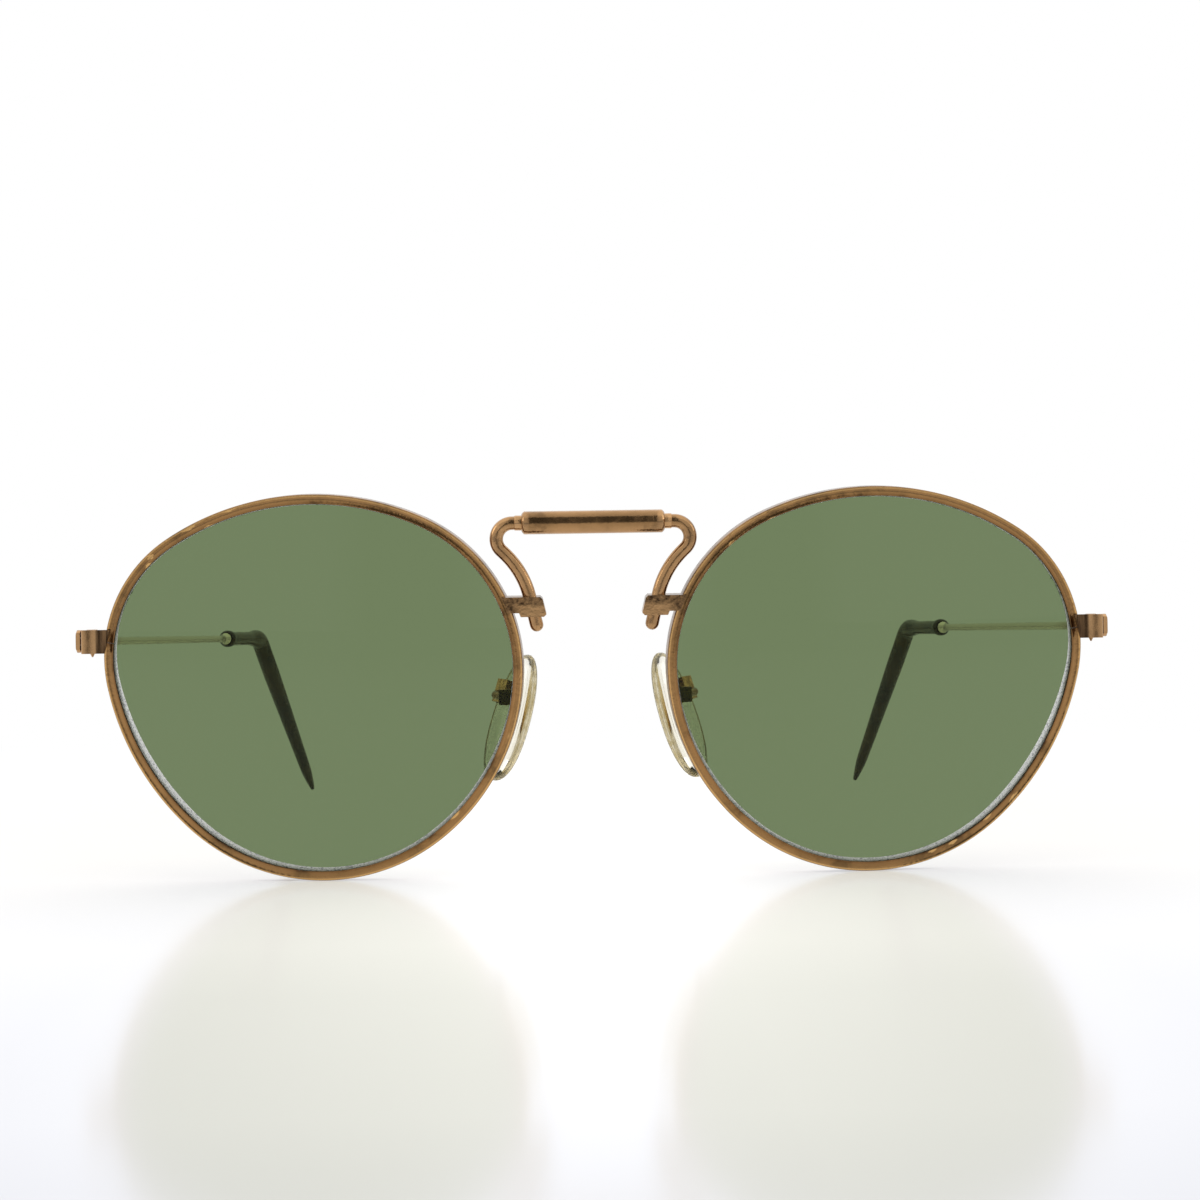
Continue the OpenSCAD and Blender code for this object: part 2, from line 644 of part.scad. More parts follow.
// Room inside a knuckle for its screw, out to the middle of the knuckle's wall
module screw_room() cylinder(r = (knuckle_r + hinge_screw_d / 2) / 2, h = 2 * knuckles_h, center = true);

module front_hinge() color(gold) hinge_place() {
    tongue_w = 1;
    // The plate ends flush with the strap.
    plate_w = tongue_w / 2 + strap_reach - hinge_out;
    plate_t = 0.75;
    strap_at = strap_back - hinge_back;
    // The plate is brazed to the back of the strap and carries the two outer knuckles.
    translate([-tongue_w / 2, strap_at + seat, -knuckles_h / 2]) cube([plate_w, plate_t - seat, knuckles_h]);
    for (z = [-knuckles_h / 2, knuckles_h / 2 - side_knuckle_h]) {
        knuckle(z, z + side_knuckle_h, hinge_screw_d / 2 + seat);
        difference() {
            translate([-tongue_w / 2, strap_at + plate_t - run_in, z])
                cube([tongue_w, run_in - plate_t - strap_at, side_knuckle_h]);
            screw_room();
        }
    }
}

module hinge_screw() color(gold) hinge_place() {
    r = hinge_screw_d / 2;
    point_r = 0.08;
    translate([0, 0, -knuckles_h / 2]) cylinder(r = r, h = knuckles_h + run_in);
    translate([0, 0, -knuckles_h / 2 - screw_point]) cylinder(r1 = point_r, r2 = r, h = screw_point);
    translate([0, 0, knuckles_h / 2 + seat]) slotted_head(r + head_out, hinge_head_h);
}

module temple_hinge() color(gold) temple_place() {
    half = middle_knuckle_h / 2 - hinge_play;
    leaf_in = butt_in - leaf_t;
    leaf_h = knuckles_h - 0.2;
    leaf_front = knuckle_r + 0.3;
    leaf_back = first_rivet + rivet_pitch + 0.8;
    tongue_front = -knuckle_r * 0.6;
    knuckle(-half, half, hinge_screw_d / 2 + hinge_play);
    // The tongue joins the knuckle to the leaf beside it.
    difference() {
        translate([0, tongue_front, -half]) cube([butt_in - seat, leaf_front + 0.2 - tongue_front, 2 * half]);
        screw_room();
    }
    difference() {
        sloping() translate([leaf_in, leaf_front, -leaf_h / 2])
            cube([leaf_t - seat, leaf_back - leaf_front, leaf_h]);
        rivet_holes();
    }
}

module rivet_place(i) sloping() translate([0, first_rivet + i * rivet_pitch, 0])
    rotate([0, 90, 0]) children();
module rivet_holes() for (i = [0, 1]) rivet_place(i)
    cylinder(r = rivet_d / 2 + seat, h = 6, center = true);

module hinge_rivet(i) color(gold) temple_place() rivet_place(i) {
    inside = butt_in - leaf_t;
    outside = butt_in + butt_t;
    translate([0, 0, inside]) cylinder(r = rivet_d / 2, h = outside - inside + 0.1);
    // A low round head outside, and the flat closed end inside
    ball_r = 0.5;
    head_top = 0.35;
    translate([0, 0, outside + seat]) intersection() {
        cylinder(r = rivet_head_d / 2, h = head_top);
        translate([0, 0, head_top - ball_r]) sphere(ball_r);
    }
}

module temple() color(gold) temple_place() {
    r = temple_wire_d / 2;
    half = butt_h / 2;
    plain = butt_len + butt_taper + 1;
    corner = 0.4;
    taper_back = butt_len + butt_taper;
    side = r + 0.1;
    difference() {
        // The butt is the same wire, swollen and then flattened.
        intersection() {
            sloping() translate([butt_mid, 0, 0]) rotate([-90, 0, 0]) rotate_extrude()
                polygon([[0, -butt_front], [half - corner, -butt_front], [half, corner - butt_front],
                    [half, butt_len], [r, taper_back], [r, plain], [0, plain]]);
            sloping() translate([butt_mid, 0, -butt_h]) linear_extrude(2 * butt_h) polygon([
                [-butt_t / 2, -butt_front - 1], [butt_t / 2, -butt_front - 1], [butt_t / 2, butt_len - 1],
                [side, taper_back], [side, plain + 1], [-side, plain + 1],
                [-side, taper_back], [-butt_t / 2, butt_len - 1]]);
        }
        rivet_holes();
    }
    sloping() translate([butt_mid, plain, 0]) rotate([-90, 0, 0])
        wire([[temple_len - plain, 0], [tip_toe_in, toe_bend_r, 180], [flare_len + tip_straight, 0],
            [tip_drop, tip_bend_r, -90], [core_drop, 0]], r);
    // The wire opens out like a horn where it enters the tip.
    tip_place() translate([0, 0, -flare_len])
        cylinder(r1 = r - 0.04, r2 = collar_d / 2 - collar_edge, h = flare_len - seat);
}

// At the front of the plastic tip: z is along it and y is up.
module tip_place() sloping() translate([butt_mid + tip_at.x, tip_at.y, 0]) rotate([0, 0, tip_toe_in])
    rotate([-90, 0, 0]) rotate([0, 0, 180]) children();

module temple_tip() color(brown_plastic) temple_place() tip_place() difference() {
    union() {
        edge = collar_edge;
        collar_r = collar_d / 2;
        neck = tip_neck_d / 2;
        full = tip_d / 2;
        // The neck swells to the full size over this last stretch before the bend.
        swell = 4;
        rotate_extrude() polygon([[0, 0], [collar_r - edge, 0], [collar_r, edge],
            [collar_r, collar_len - edge], [collar_r - edge / 2, collar_len],
            [neck, collar_len + edge], [neck, tip_straight - swell], [full, tip_straight - 0.5],
            [full, tip_straight + run_in], [0, tip_straight + run_in]]);
        translate([0, 0, tip_straight]) wire([[tip_drop, tip_bend_r, -90]], full);
        // The point is fuller at its middle than a plain cone.
        point_mid = (tip_point_d / 2 + tip_end_r) / 2 + 0.1;
        leg_place() rotate_extrude() polygon([[0, -run_in], [full, -run_in], [full, tip_round_len],
            [tip_point_d / 2, tip_leg - tip_point_len], [point_mid, tip_leg - tip_point_len / 2],
            [tip_end_r - 2 * hair, tip_leg], [0, tip_leg]]);
        leg_place() translate([0, 0, tip_leg]) sphere(tip_end_r);
    }
    translate([0, 0, -1]) wire([[tip_straight + 1, 0], [tip_drop, tip_bend_r, -90], [core_drop + 0.3, 0]],
        temple_wire_d / 2 + seat);
}

module leg_place() translate([0, 0, tip_straight]) rotate([0, 0, -90]) translate([tip_bend_r, 0, 0])
    rotate([0, tip_drop, 0]) translate([-tip_bend_r, 0, 0]) children();

rim();  // left_rim
right() rim();  // right_rim
lens();  // left_lens
right() lens();  // right_lens
bridge_wire();
bridge_sleeve();
bridge_lug();  // left_bridge_lug
right() bridge_lug();  // right_bridge_lug
pad_arm();  // left_pad_arm
right() pad_arm();  // right_pad_arm
pad_box();  // left_pad_box
right() pad_box();  // right_pad_box
pad_screw();  // left_pad_screw
right() pad_screw();  // right_pad_screw
nose_pad();  // left_nose_pad
right() nose_pad();  // right_nose_pad
endpiece();  // left_endpiece
right() endpiece();  // right_endpiece
closing_block(true);  // left_upper_closing_block
right() closing_block(true);  // right_upper_closing_block
closing_block(false);  // left_lower_closing_block
right() closing_block(false);  // right_lower_closing_block
closing_screw();  // left_closing_screw
right() closing_screw();  // right_closing_screw
front_hinge();  // left_front_hinge
right() front_hinge();  // right_front_hinge
hinge_screw();  // left_hinge_screw
right() hinge_screw();  // right_hinge_screw
temple_hinge();  // left_temple_hinge
right() temple_hinge();  // right_temple_hinge
hinge_rivet(0);  // left_first_rivet
right() hinge_rivet(0);  // right_first_rivet
hinge_rivet(1);  // left_second_rivet
right() hinge_rivet(1);  // right_second_rivet
temple();  // left_temple
right() temple();  // right_temple
temple_tip();  // left_temple_tip
right() temple_tip();  // right_temple_tip
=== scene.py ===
import json
import math

import bmesh
import bpy
from mathutils import Matrix, Vector


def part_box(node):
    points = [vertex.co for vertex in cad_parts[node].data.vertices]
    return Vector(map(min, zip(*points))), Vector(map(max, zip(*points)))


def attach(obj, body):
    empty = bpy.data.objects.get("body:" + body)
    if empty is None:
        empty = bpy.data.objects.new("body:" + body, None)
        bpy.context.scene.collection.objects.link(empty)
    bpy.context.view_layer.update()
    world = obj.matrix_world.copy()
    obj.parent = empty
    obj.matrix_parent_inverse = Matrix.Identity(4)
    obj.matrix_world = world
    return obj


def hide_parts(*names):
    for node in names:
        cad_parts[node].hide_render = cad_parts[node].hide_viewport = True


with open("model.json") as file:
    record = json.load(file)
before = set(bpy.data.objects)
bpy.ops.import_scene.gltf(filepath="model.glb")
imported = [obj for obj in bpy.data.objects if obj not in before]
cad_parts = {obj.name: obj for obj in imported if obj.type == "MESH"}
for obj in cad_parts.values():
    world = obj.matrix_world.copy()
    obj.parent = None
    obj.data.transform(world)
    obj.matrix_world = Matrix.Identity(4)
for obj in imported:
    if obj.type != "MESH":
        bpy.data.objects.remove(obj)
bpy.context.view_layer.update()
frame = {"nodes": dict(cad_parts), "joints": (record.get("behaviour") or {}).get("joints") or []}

mm = 0.001
sides = (("left", False), ("right", True))  # the right side mirrors the left
joints = {joint["name"]: joint for joint in frame["joints"]}
print("frame loaded:", len(frame["nodes"]), "nodes")


# Helpers for places, meshes and nodes

def shift(x, y, z):
    return Matrix.Translation((x, y, z))


def turn(degrees, axis):
    return Matrix.Rotation(math.radians(degrees), 4, axis)


def heading(degrees):
    return Vector((math.cos(math.radians(degrees)), math.sin(math.radians(degrees))))


def linearColour(hexText):
    # sRGB hex to the linear values that shaders take
    parts = [int(hexText[i:i + 2], 16) / 255 for i in (0, 2, 4)]
    return tuple(p / 12.92 if p <= 0.04045 else ((p + 0.055) / 1.055) ** 2.4 for p in parts) + (1,)


def addNode(tree, kind, inputs=None, tones=(), **settings):
    # The kind is Blender's name after ShaderNode. An input is a value, a socket, or a node, which
    # stands for its first enabled output. From and To take both ends of a range, and tones are
    # the stops of a colour ramp as (position, sRGB hex).
    node = tree.nodes.new("ShaderNode" + kind)
    for name, value in settings.items():
        setattr(node, name, value)
    for name, value in (inputs or {}).items():
        if isinstance(value, bpy.types.Node):
            value = next(output for output in value.outputs if output.enabled)
        if isinstance(value, bpy.types.NodeSocket):
            tree.links.new(value, node.inputs[name])
        elif name in ("From", "To"):
            for end, number in zip((" Min", " Max"), value):
                node.inputs[name + end].default_value = number
        else:
            node.inputs[name].default_value = value
    for stop, (position, tone) in enumerate(tones):
        node.color_ramp.elements[stop].position = position
        node.color_ramp.elements[stop].color = linearColour(tone)
    return node


def newMaterial(name):
    material = bpy.data.materials.new(name)
    material.use_nodes = True
    material.node_tree.nodes.clear()
    return material, material.node_tree


def placeOn(tree):
    # a point's place on the object in metres, whole, in parts, and how far aside it is
    place = addNode(tree, "TexCoord").outputs["Object"]
    parts = addNode(tree, "SeparateXYZ", {"Vector": place}).outputs
    return place, parts, addNode(tree, "Math", {0: parts["X"]}, operation="ABSOLUTE")


def showPiece(piece, body, nodes):
    bpy.context.scene.collection.objects.link(piece)
    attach(piece, body)
    if nodes:
        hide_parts(*nodes)


def makePiece(name, points, faces, materials, body, nodes, place, slot, mirrored=False,
              kinds=None, sharp=35):
    # points are in mm in the piece's own place; mirrored puts it on the other side of the nose
    mesh = bpy.data.meshes.new(name)
    flip = -1 if mirrored else 1
    spots = [place @ Vector(p) for p in points]
    mesh.from_pydata([(s.x * flip * mm, s.y * mm, s.z * mm) for s in spots], [], faces)
    for material in materials:
        mesh.materials.append(material)
    if kinds:
        mesh.polygons.foreach_set("material_index", kinds)
    work = bmesh.new()
    work.from_mesh(mesh)
    bmesh.ops.recalc_face_normals(work, faces=work.faces)
    work.to_mesh(mesh)
    work.free()
    mesh.shade_smooth()
    mesh.set_sharp_from_angle(angle=math.radians(sharp))
    showPiece(bpy.data.objects.new(name, mesh), body, nodes)


def bodyOn(side, body):
    # the front is one body, and each side has a side and a pad of its own
    return body if body == "front" else side + "_" + body


def makePair(name, points, faces, materials, body, node, place, slot, **finish):
    # the same piece for both sides
    for side, mirrored in sides:
        nodes = [side + "_" + node] if node else []
        makePiece(side + name, points, faces, materials, bodyOn(side, body), nodes, place, slot,
                  mirrored, **finish)


def skin(rings, joined=False, capped=True):
    # faces between rings of equal length; joined also closes the last ring onto the first
    count = len(rings[0])
    points = [p for ring in rings for p in ring]
    faces = []
    for i in range(len(rings) if joined else len(rings) - 1):
        a, b = i * count, (i + 1) % len(rings) * count
        faces += [(a + k, a + (k + 1) % count, b + (k + 1) % count, b + k) for k in range(count)]
    if capped and not joined:
        faces.append(tuple(range(count)))
        faces.append(tuple(range(len(points) - count, len(points)))[::-1])
    return points, faces


def closeWithFans(points, faces, count, first, last):
    # triangles from a middle point to the first ring, and from another to the last one
    start = len(points) - count
    points += [first, last]
    for k in range(count):
        faces.append((len(points) - 2, (k + 1) % count, k))
        faces.append((len(points) - 1, start + k, start + (k + 1) % count))


def walk(steps, stride, bend):
    # Follows a wire from the origin along +Z, with a place every stride mm or bend degrees.
    # A step is (length, 0) or (degrees, radius), and a third number rolls the path before it;
    # a bend goes toward +X. Returns (length so far, place), and the places' axes don't roll.
    place, rolled, gone = Matrix.Identity(4), 0, 0
    places = [(0, place)]
    for step in steps:
        size, radius = step[0], step[1]
        roll = step[2] if len(step) > 2 else 0
        place, rolled = place @ turn(roll, "Z"), rolled + roll
        if radius == 0:
            count, length = max(1, round(size / stride)), size
        else:
            count, length = max(2, math.ceil(size / bend)), math.radians(size) * radius
        for k in range(1, count + 1):
            if radius == 0:
                here = place @ shift(0, 0, size * k / count)
            else:
                turned = turn(size * k / count, "Y")
                here = place @ shift(radius, 0, 0) @ turned @ shift(-radius, 0, 0)
            places.append((gone + length * k / count, here @ turn(-rolled, "Z")))
        place, gone = here, gone + length
    return places


def ringAt(place, across, deep, squareness=1.0, count=28):
    # an ellipse, or with a small squareness a rounded rectangle, square to the wire
    ring = []
    for k in range(count):
        c, s = heading(360 * k / count)
        ring.append(place @ Vector((across * math.copysign(abs(c) ** squareness, c),
                                    deep * math.copysign(abs(s) ** squareness, s), 0)))
    return ring


def blendValue(stops, at):
    # a value read off (position, value) stops, with smooth steps between them
    if at <= stops[0][0]:
        return stops[0][1]
    for (a, low), (b, high) in zip(stops, stops[1:]):
        if at <= b:
            t = (at - a) / (b - a)
            return low + (high - low) * t * t * (3 - 2 * t)
    return stops[-1][1]


def wireRings(places, radius):
    # rings of a round wire whose far end is rounded
    rings = [ringAt(place, radius, radius) for gone, place in places
             if gone < places[-1][0] - radius]
    last = places[-1][1]
    for degrees in range(0, 86, 17):
        c, s = heading(degrees) * radius
        rings.append(ringAt(last @ shift(0, 0, s - radius), c, c))
    return rings


edgeFinish = {
    "merge": 0.002,  # mm between points that become one
    "flat": 1.5,  # degrees within which faces become one
    "brokenFrom": 32,  # degrees from which an edge is broken
    "sharpFrom": 40,  # degrees from which an edge shades sharp
    "segments": 3,
}


def polishedNode(node, name, material, body, width):
    # the CAD solid with its edges broken, as tumbling and plating leave them
    mesh = frame["nodes"][node].data.copy()
    mesh.materials.clear()
    mesh.materials.append(material)
    work = bmesh.new()
    work.from_mesh(mesh)
    bmesh.ops.remove_doubles(work, verts=work.verts, dist=edgeFinish["merge"] * mm)
    bmesh.ops.dissolve_limit(work, angle_limit=math.radians(edgeFinish["flat"]),
                             verts=work.verts, edges=work.edges)
    work.to_mesh(mesh)
    work.free()
    piece = bpy.data.objects.new(name, mesh)
    rounded = piece.modifiers.new("brokenEdges", "BEVEL")
    rounded.width = width * mm
    rounded.segments = edgeFinish["segments"]
    rounded.limit_method = "ANGLE"
    rounded.angle_limit = math.radians(edgeFinish["brokenFrom"])
    mesh.shade_smooth()
    mesh.set_sharp_from_angle(angle=math.radians(edgeFinish["sharpFrom"]))
    showPiece(piece, body, [node])


# Where the pieces stand, in mm in the frame of the model

stance = {
    "lean": 5,  # degrees that the front leans forward
    "wrap": 5,  # degrees that each rim turns round the face
    "noseGap": 18,  # between the rims
    "bridgeHeight": 20.7,  # of the bridge wire over the middle of the lenses
    "toeIn": 5,  # degrees that each temple runs inward
    "slope": 1.2,  # degrees that it falls toward its tip
}
sleeveMiddle = sum(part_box("bridge_sleeve"), Vector()) / 2 / mm
lensHeight = sleeveMiddle.z - stance["bridgeHeight"] * math.cos(math.radians(stance["lean"]))
frontLine = sleeveMiddle.y + stance["bridgeHeight"] * math.sin(math.radians(stance["lean"]))
frontPlace = shift(0, frontLine, lensHeight) @ turn(stance["lean"], "X")
hingeSpot = Vector(joints["left_temple_fold"]["pos_m"]) / mm
templePlace = shift(*hingeSpot) @ turn(stance["toeIn"], "Z") @ turn(-stance["slope"], "X")

# The outline of a lens: six arcs that meet without a corner, x to the temple and y up

lensShape = {
    "width": 52,
    "height": 47.8,
    "templeCorner": 17.6,  # radius
    "noseCorner": 20.4,  # radius
    "turns": (-127, -47, -11, 57, 113, 183, 233),  # directions where one arc hands over
    "thickness": 2.0,
    "curve": 118,  # radius of the front face across
    "sideCurve": 99,  # radius of the front face up and down
    "bevel": 0.6,  # how far the pointed edge reaches out
    "bevelWidth": 1.3,  # of the pointed edge at its foot
    "facetRise": 0.176,  # from the foot of the point to the edge of the front face
    "bulge": (1.15, -0.85),  # the face bulges most this far from the middle
}


def outlineArcs(shape):
    # Two corner radii are given. The other four follow from the width, the height and the turns.
    t = [heading(a) for a in shape["turns"]]
    temple, nose = shape["templeCorner"], shape["noseCorner"]
    brow = (shape["width"] - temple * (1 - t[3].x) - nose * (1 + t[4].x)) / (t[3].x - t[4].x)
    templeRest = shape["height"] - temple * (t[3].y - t[2].y) - brow * (1 - t[3].y)
    noseRest = shape["height"] - nose * (t[4].y - t[5].y) - brow * (1 - t[4].y)
    templeShare = (t[2].x - t[1].x) / (t[2].y - t[1].y)
    noseShare = (t[6].x - t[5].x) / (t[5].y - t[6].y)
    bottom = (shape["width"] - nose * (1 + t[5].x) - temple * (1 - t[2].x)
              - noseShare * noseRest - templeShare * templeRest)
    bottom /= t[1].x - t[0].x - noseShare * (1 + t[6].y) - templeShare * (1 + t[1].y)
    templeSide = (templeRest - bottom * (1 + t[1].y)) / (t[2].y - t[1].y)
    noseSide = (noseRest - bottom * (1 + t[6].y)) / (t[5].y - t[6].y)
    radii = [bottom, templeSide, temple, brow, nose, noseSide]
    centres = [Vector((0, 0))]
    for i in range(5):
        centres.append(centres[i] + (radii[i] - radii[i + 1]) * t[i + 1])
    middle = Vector(((centres[2].x + radii[2] + centres[4].x - radii[4]) / 2,
                     (centres[3].y + radii[3] + centres[0].y - radii[0]) / 2))
    return radii, [c - middle for c in centres]


arcRadii, arcCentres = outlineArcs(lensShape)


def outlineAt(degrees, grow):
    # the point of the outline that faces this way, moved outward by grow
    first = lensShape["turns"][0]
    degrees = (degrees - first) % 360 + first
    i = max(k for k in range(6) if lensShape["turns"][k] <= degrees)
    return arcCentres[i] + (arcRadii[i] + grow) * heading(degrees)


rimShape = {
    "outside": 0.7,  # beyond the edge of the lens
    "inside": 0.5,  # lip, in from the edge of the lens
    "depth": 2.2,
    "round": 0.2,  # radius of the outer corners
    "lipRound": 0.07,  # radius of the lip's corners
    "play": 0.05,  # round the pointed edge of the lens
    "channel": 0.14,  # depth of the groove along the front
    "channelRadius": 1.0,
    "slit": 0.16,  # wide
    "slitHeight": 6.1,  # above the middle of the lens
    "steps": 420,  # sections round the rim
}
rimReach = lensShape["width"] / 2 + rimShape["outside"]
eyePlace = (frontPlace @ shift(stance["noseGap"] / 2, 0, 0) @ turn(stance["wrap"], "Z")
            @ shift(rimReach, 0, 0))


# Materials

goldWear = {
    "rubbedHighlight": "BC9468",  # rubbed edges, pale from wear and from a painted highlight
    "stain": "3A2A1E",
    "patch": 5.0,  # mm across a dull patch
    "patchFrom": (0.42, 0.62),  # of its noise, over which it grows
    "dulled": 0.72,  # brightness of a dull patch
    "blotch": 0.9,  # mm across a small stain
    "blotchFrom": (0.42, 0.66),  # of its noise on clean plate, over which it grows
    "earlier": 0.25,  # how much sooner it grows on the most stained plate
    "strength": (0.3, 0.9),  # of the stains on clean and on the most stained plate
    "rubbedHighlightFrom": (0.5, 0.56),  # pointiness of an edge, over which the rubbing and its painted highlight grow
    "rubbedHighlightShare": 0.7,
    "uneven": (-0.04, 0.08),  # added to the roughness between and in the stains
    "dent": 0.6,  # mm across a shallow dent
    "dentDepth": 0.06,  # mm
    "pit": 0.14,  # mm across a pit, coarser than the real ones so that it shows
    "pitDepth": 0.004,  # mm
}


def antiqueGoldPlate(name, tone, stained, roughness, dented=1.0, rubbedHighlight=goldWear["rubbedHighlight"]):
    # Electroplated nickel silver, tumbled and then worn: warm gold that goes brown in patches and
    # pale along edges, from rubbing and from a painted highlight, with shallow dents and pits that
    # break up what it mirrors
    wear = goldWear
    material, tree = newMaterial(name)
    place = addNode(tree, "TexCoord").outputs["Object"]
    noise = {}
    for mark, detail, grain in (("patch", 4, 0.6), ("blotch", 5, 0.65), ("dent", 2, 0.5),
                                ("pit", 3, 0.6)):
        noise[mark] = addNode(tree, "TexNoise", {
            "Vector": place, "Scale": 1 / (wear[mark] * mm), "Detail": detail, "Roughness": grain})
    dull = addNode(tree, "MapRange", {"Value": noise["patch"], "From": wear["patchFrom"]})
    dirt = addNode(tree, "Math", {0: noise["blotch"], 1: dull}, operation="MULTIPLY")
    clean, most = wear["strength"]
    stain = addNode(tree, "MapRange", {
        "Value": dirt, "From": [start - wear["earlier"] * stained for start in wear["blotchFrom"]],
        "To": (0, clean + (most - clean) * stained)})
    # painted highlight, partly rubbed wear: the pointed edges turn pale
    edge = addNode(tree, "MapRange", {
        "Value": addNode(tree, "NewGeometry").outputs["Pointiness"],
        "From": wear["rubbedHighlightFrom"], "To": (0, wear["rubbedHighlightShare"])})
    fresh = linearColour(tone)
    dulled = tuple(wear["dulled"] * part for part in fresh[:3]) + (1,)
    # the colours of a mix node go into its sockets 6 and 7 and leave by output 2
    colour = addNode(tree, "Mix", {0: dull, 6: fresh, 7: dulled}, data_type="RGBA")
    for share, over in ((stain, wear["stain"]), (edge, rubbedHighlight)):
        colour = addNode(tree, "Mix", {0: share, 6: colour, 7: linearColour(over)},
                         data_type="RGBA")
    rough = addNode(tree, "MapRange", {
        "Value": noise["blotch"], "From": (0.3, 0.7),
        "To": [roughness + more for more in wear["uneven"]]})
    dents = addNode(tree, "Bump", {
        "Height": noise["dent"], "Strength": 0.5, "Distance": wear["dentDepth"] * dented * mm})
    relief = addNode(tree, "Bump", {
        "Height": noise["pit"], "Strength": 0.3, "Distance": wear["pitDepth"] * dented * mm,
        "Normal": dents})
    shader = addNode(tree, "BsdfPrincipled", {
        "Base Color": colour, "Metallic": 1, "Roughness": rough, "Normal": relief})
    addNode(tree, "OutputMaterial", {"Surface": shader})
    return material


def overPlate(material, share, tone):
    # lays another tone over a finished plate
    tree = material.node_tree
    shader = next(node for node in tree.nodes if node.type == "BSDF_PRINCIPLED")
    plate = shader.inputs["Base Color"].links[0].from_socket
    colour = addNode(tree, "Mix", {0: share, 6: plate, 7: linearColour(tone)}, data_type="RGBA")
    tree.links.new(colour.outputs[2], shader.inputs["Base Color"])
    return material


templeWear = {
    "from": (8, 20),  # mm behind the hinge, over which the gold fades out
    "bare": "EADFC8",
}


def wornTemplePlate():
    # The same plate on the temples, rubbed through to pale nickel silver by years of folding
    material = antiqueGoldPlate("wornGoldPlateOfTemples", "A07C55", stained=0.25,
                                roughness=0.14, dented=0.1)
    tree = material.node_tree
    place = addNode(tree, "TexCoord").outputs["Object"]
    parts = addNode(tree, "SeparateXYZ", {"Vector": place}).outputs
    bare = addNode(tree, "MapRange", {
        "Value": parts["Y"], "From": [(hingeSpot.y + way) * mm for way in templeWear["from"]]})
    return overPlate(material, bare, templeWear["bare"])


strapLook = {
    "hollowEnd": 1.25,  # mm from the hinge screw in to the outer end of the hollow
    "soft": 0.2,  # mm over which the painted shade fades there
    "streak": 0.3,  # mm across a streak
    "stretch": 0.12,  # how fast a streak changes upward, where across is 1
    "darkeningFrom": (0.3, 0.65),  # of the streaks' noise, over which the painted shade weakens
    "dirt": (0.95, 0.72),  # strength of the painted shade in and between the streaks
}


def layDarkening(material, where, flakes, look):
    # a darkening over a finished plate, by where it gathers and by its own flakes:
    # dirt on the lugs, and painted shade in the hollows of the straps
    tree = material.node_tree
    strength = addNode(tree, "MapRange", {
        "Value": flakes, "From": look["darkeningFrom"], "To": look["dirt"]})
    share = addNode(tree, "Math", {0: where, 1: strength}, operation="MULTIPLY")
    return overPlate(material, share, goldWear["stain"])


def strapPlateWithPaintedShade():
    # The same plate on the endpieces, with painted shade in upright streaks over the hollow
    # beside the rim
    look = strapLook
    material = antiqueGoldPlate("antiqueGoldPlateOfStraps", "B28E64", stained=0.25,
                                roughness=0.22, dented=0.25)
    tree = material.node_tree
    place, _, aside = placeOn(tree)
    # painted shade: the hollow beside the rim is darkened, in streaks
    end = (hingeSpot.x - look["hollowEnd"]) * mm
    hollowShade = addNode(tree, "MapRange", {
        "Value": aside, "From": (end - look["soft"] * mm, end), "To": (1, 0)})
    stretched = addNode(tree, "Mapping", {"Vector": place, "Scale": (1, 1, look["stretch"])})
    streaks = addNode(tree, "TexNoise", {
        "Vector": stretched, "Scale": 1 / (look["streak"] * mm), "Detail": 4})
    return layDarkening(material, hollowShade, streaks, look)


lugLook = {
    "top": (1.5, 1.0),  # mm below the lug's top, over which dirt grows upward
    "corner": (9.3, 10.2),  # mm from the middle of the nose, over which dirt grows to the rim
    "crust": 0.5,  # mm across a flake of dirt
    "darkeningFrom": (0.36, 0.6),  # of the flakes' noise, over which the dirt weakens
    "dirt": (0.95, 0.35),  # strength of the dirt in and between the flakes
}


def stainedLugPlate():
    # The same plate on the bridge lugs, black with old polish on top and beside the rim
    look = lugLook
    material = antiqueGoldPlate("stainedGoldPlateOfLugs", "B8946A", stained=0.5, roughness=0.2)
    tree = material.node_tree
    place, parts, aside = placeOn(tree)
    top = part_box("left_bridge_lug")[1].z
    high = addNode(tree, "MapRange", {
        "Value": parts["Z"], "From": [top - below * mm for below in look["top"]]})
    near = addNode(tree, "MapRange", {
        "Value": aside, "From": [way * mm for way in look["corner"]]})
    dark = addNode(tree, "Math", {0: high, 1: near}, operation="MAXIMUM")
    crust = addNode(tree, "TexNoise", {
        "Vector": place, "Scale": 1 / (look["crust"] * mm), "Detail": 5, "Roughness": 0.7})
    return layDarkening(material, dark, crust, look)


def mottled(tree, size, detail, tones):
    # spots this many mm across, and the tones that they give
    place = addNode(tree, "TexCoord").outputs["Object"]
    spots = addNode(tree, "TexNoise", {
        "Vector": place, "Scale": 1 / (size * mm), "Detail": detail})
    return spots, addNode(tree, "ValToRGB", {"Fac": spots}, tones=tones)


def seeThrough(tree, shader, shade):
    # lets lamp light through for shadows, tinted, so that the piece casts a pale shadow
    path = addNode(tree, "LightPath")
    clear = addNode(tree, "BsdfTransparent", {"Color": linearColour(shade)})
    return addNode(tree, "MixShader", {0: path.outputs["Is Shadow Ray"], 1: shader, 2: clear})


glassLook = {
    "tone": "71815E",
    "shadow": "7A8A66",  # the light that falls through
    "ior": 1.523,
    "glint": 0.15,  # share of its surface shine that shows
    "grit": 0.25,  # mm across a grain of the ground edge, coarser than it is so that it shows
    "gritDepth": 0.03,  # mm
    "ground": ((0.36, "A2A2AC"), (0.48, "FFFFFF")),  # its tones, over the noise of the grit
}


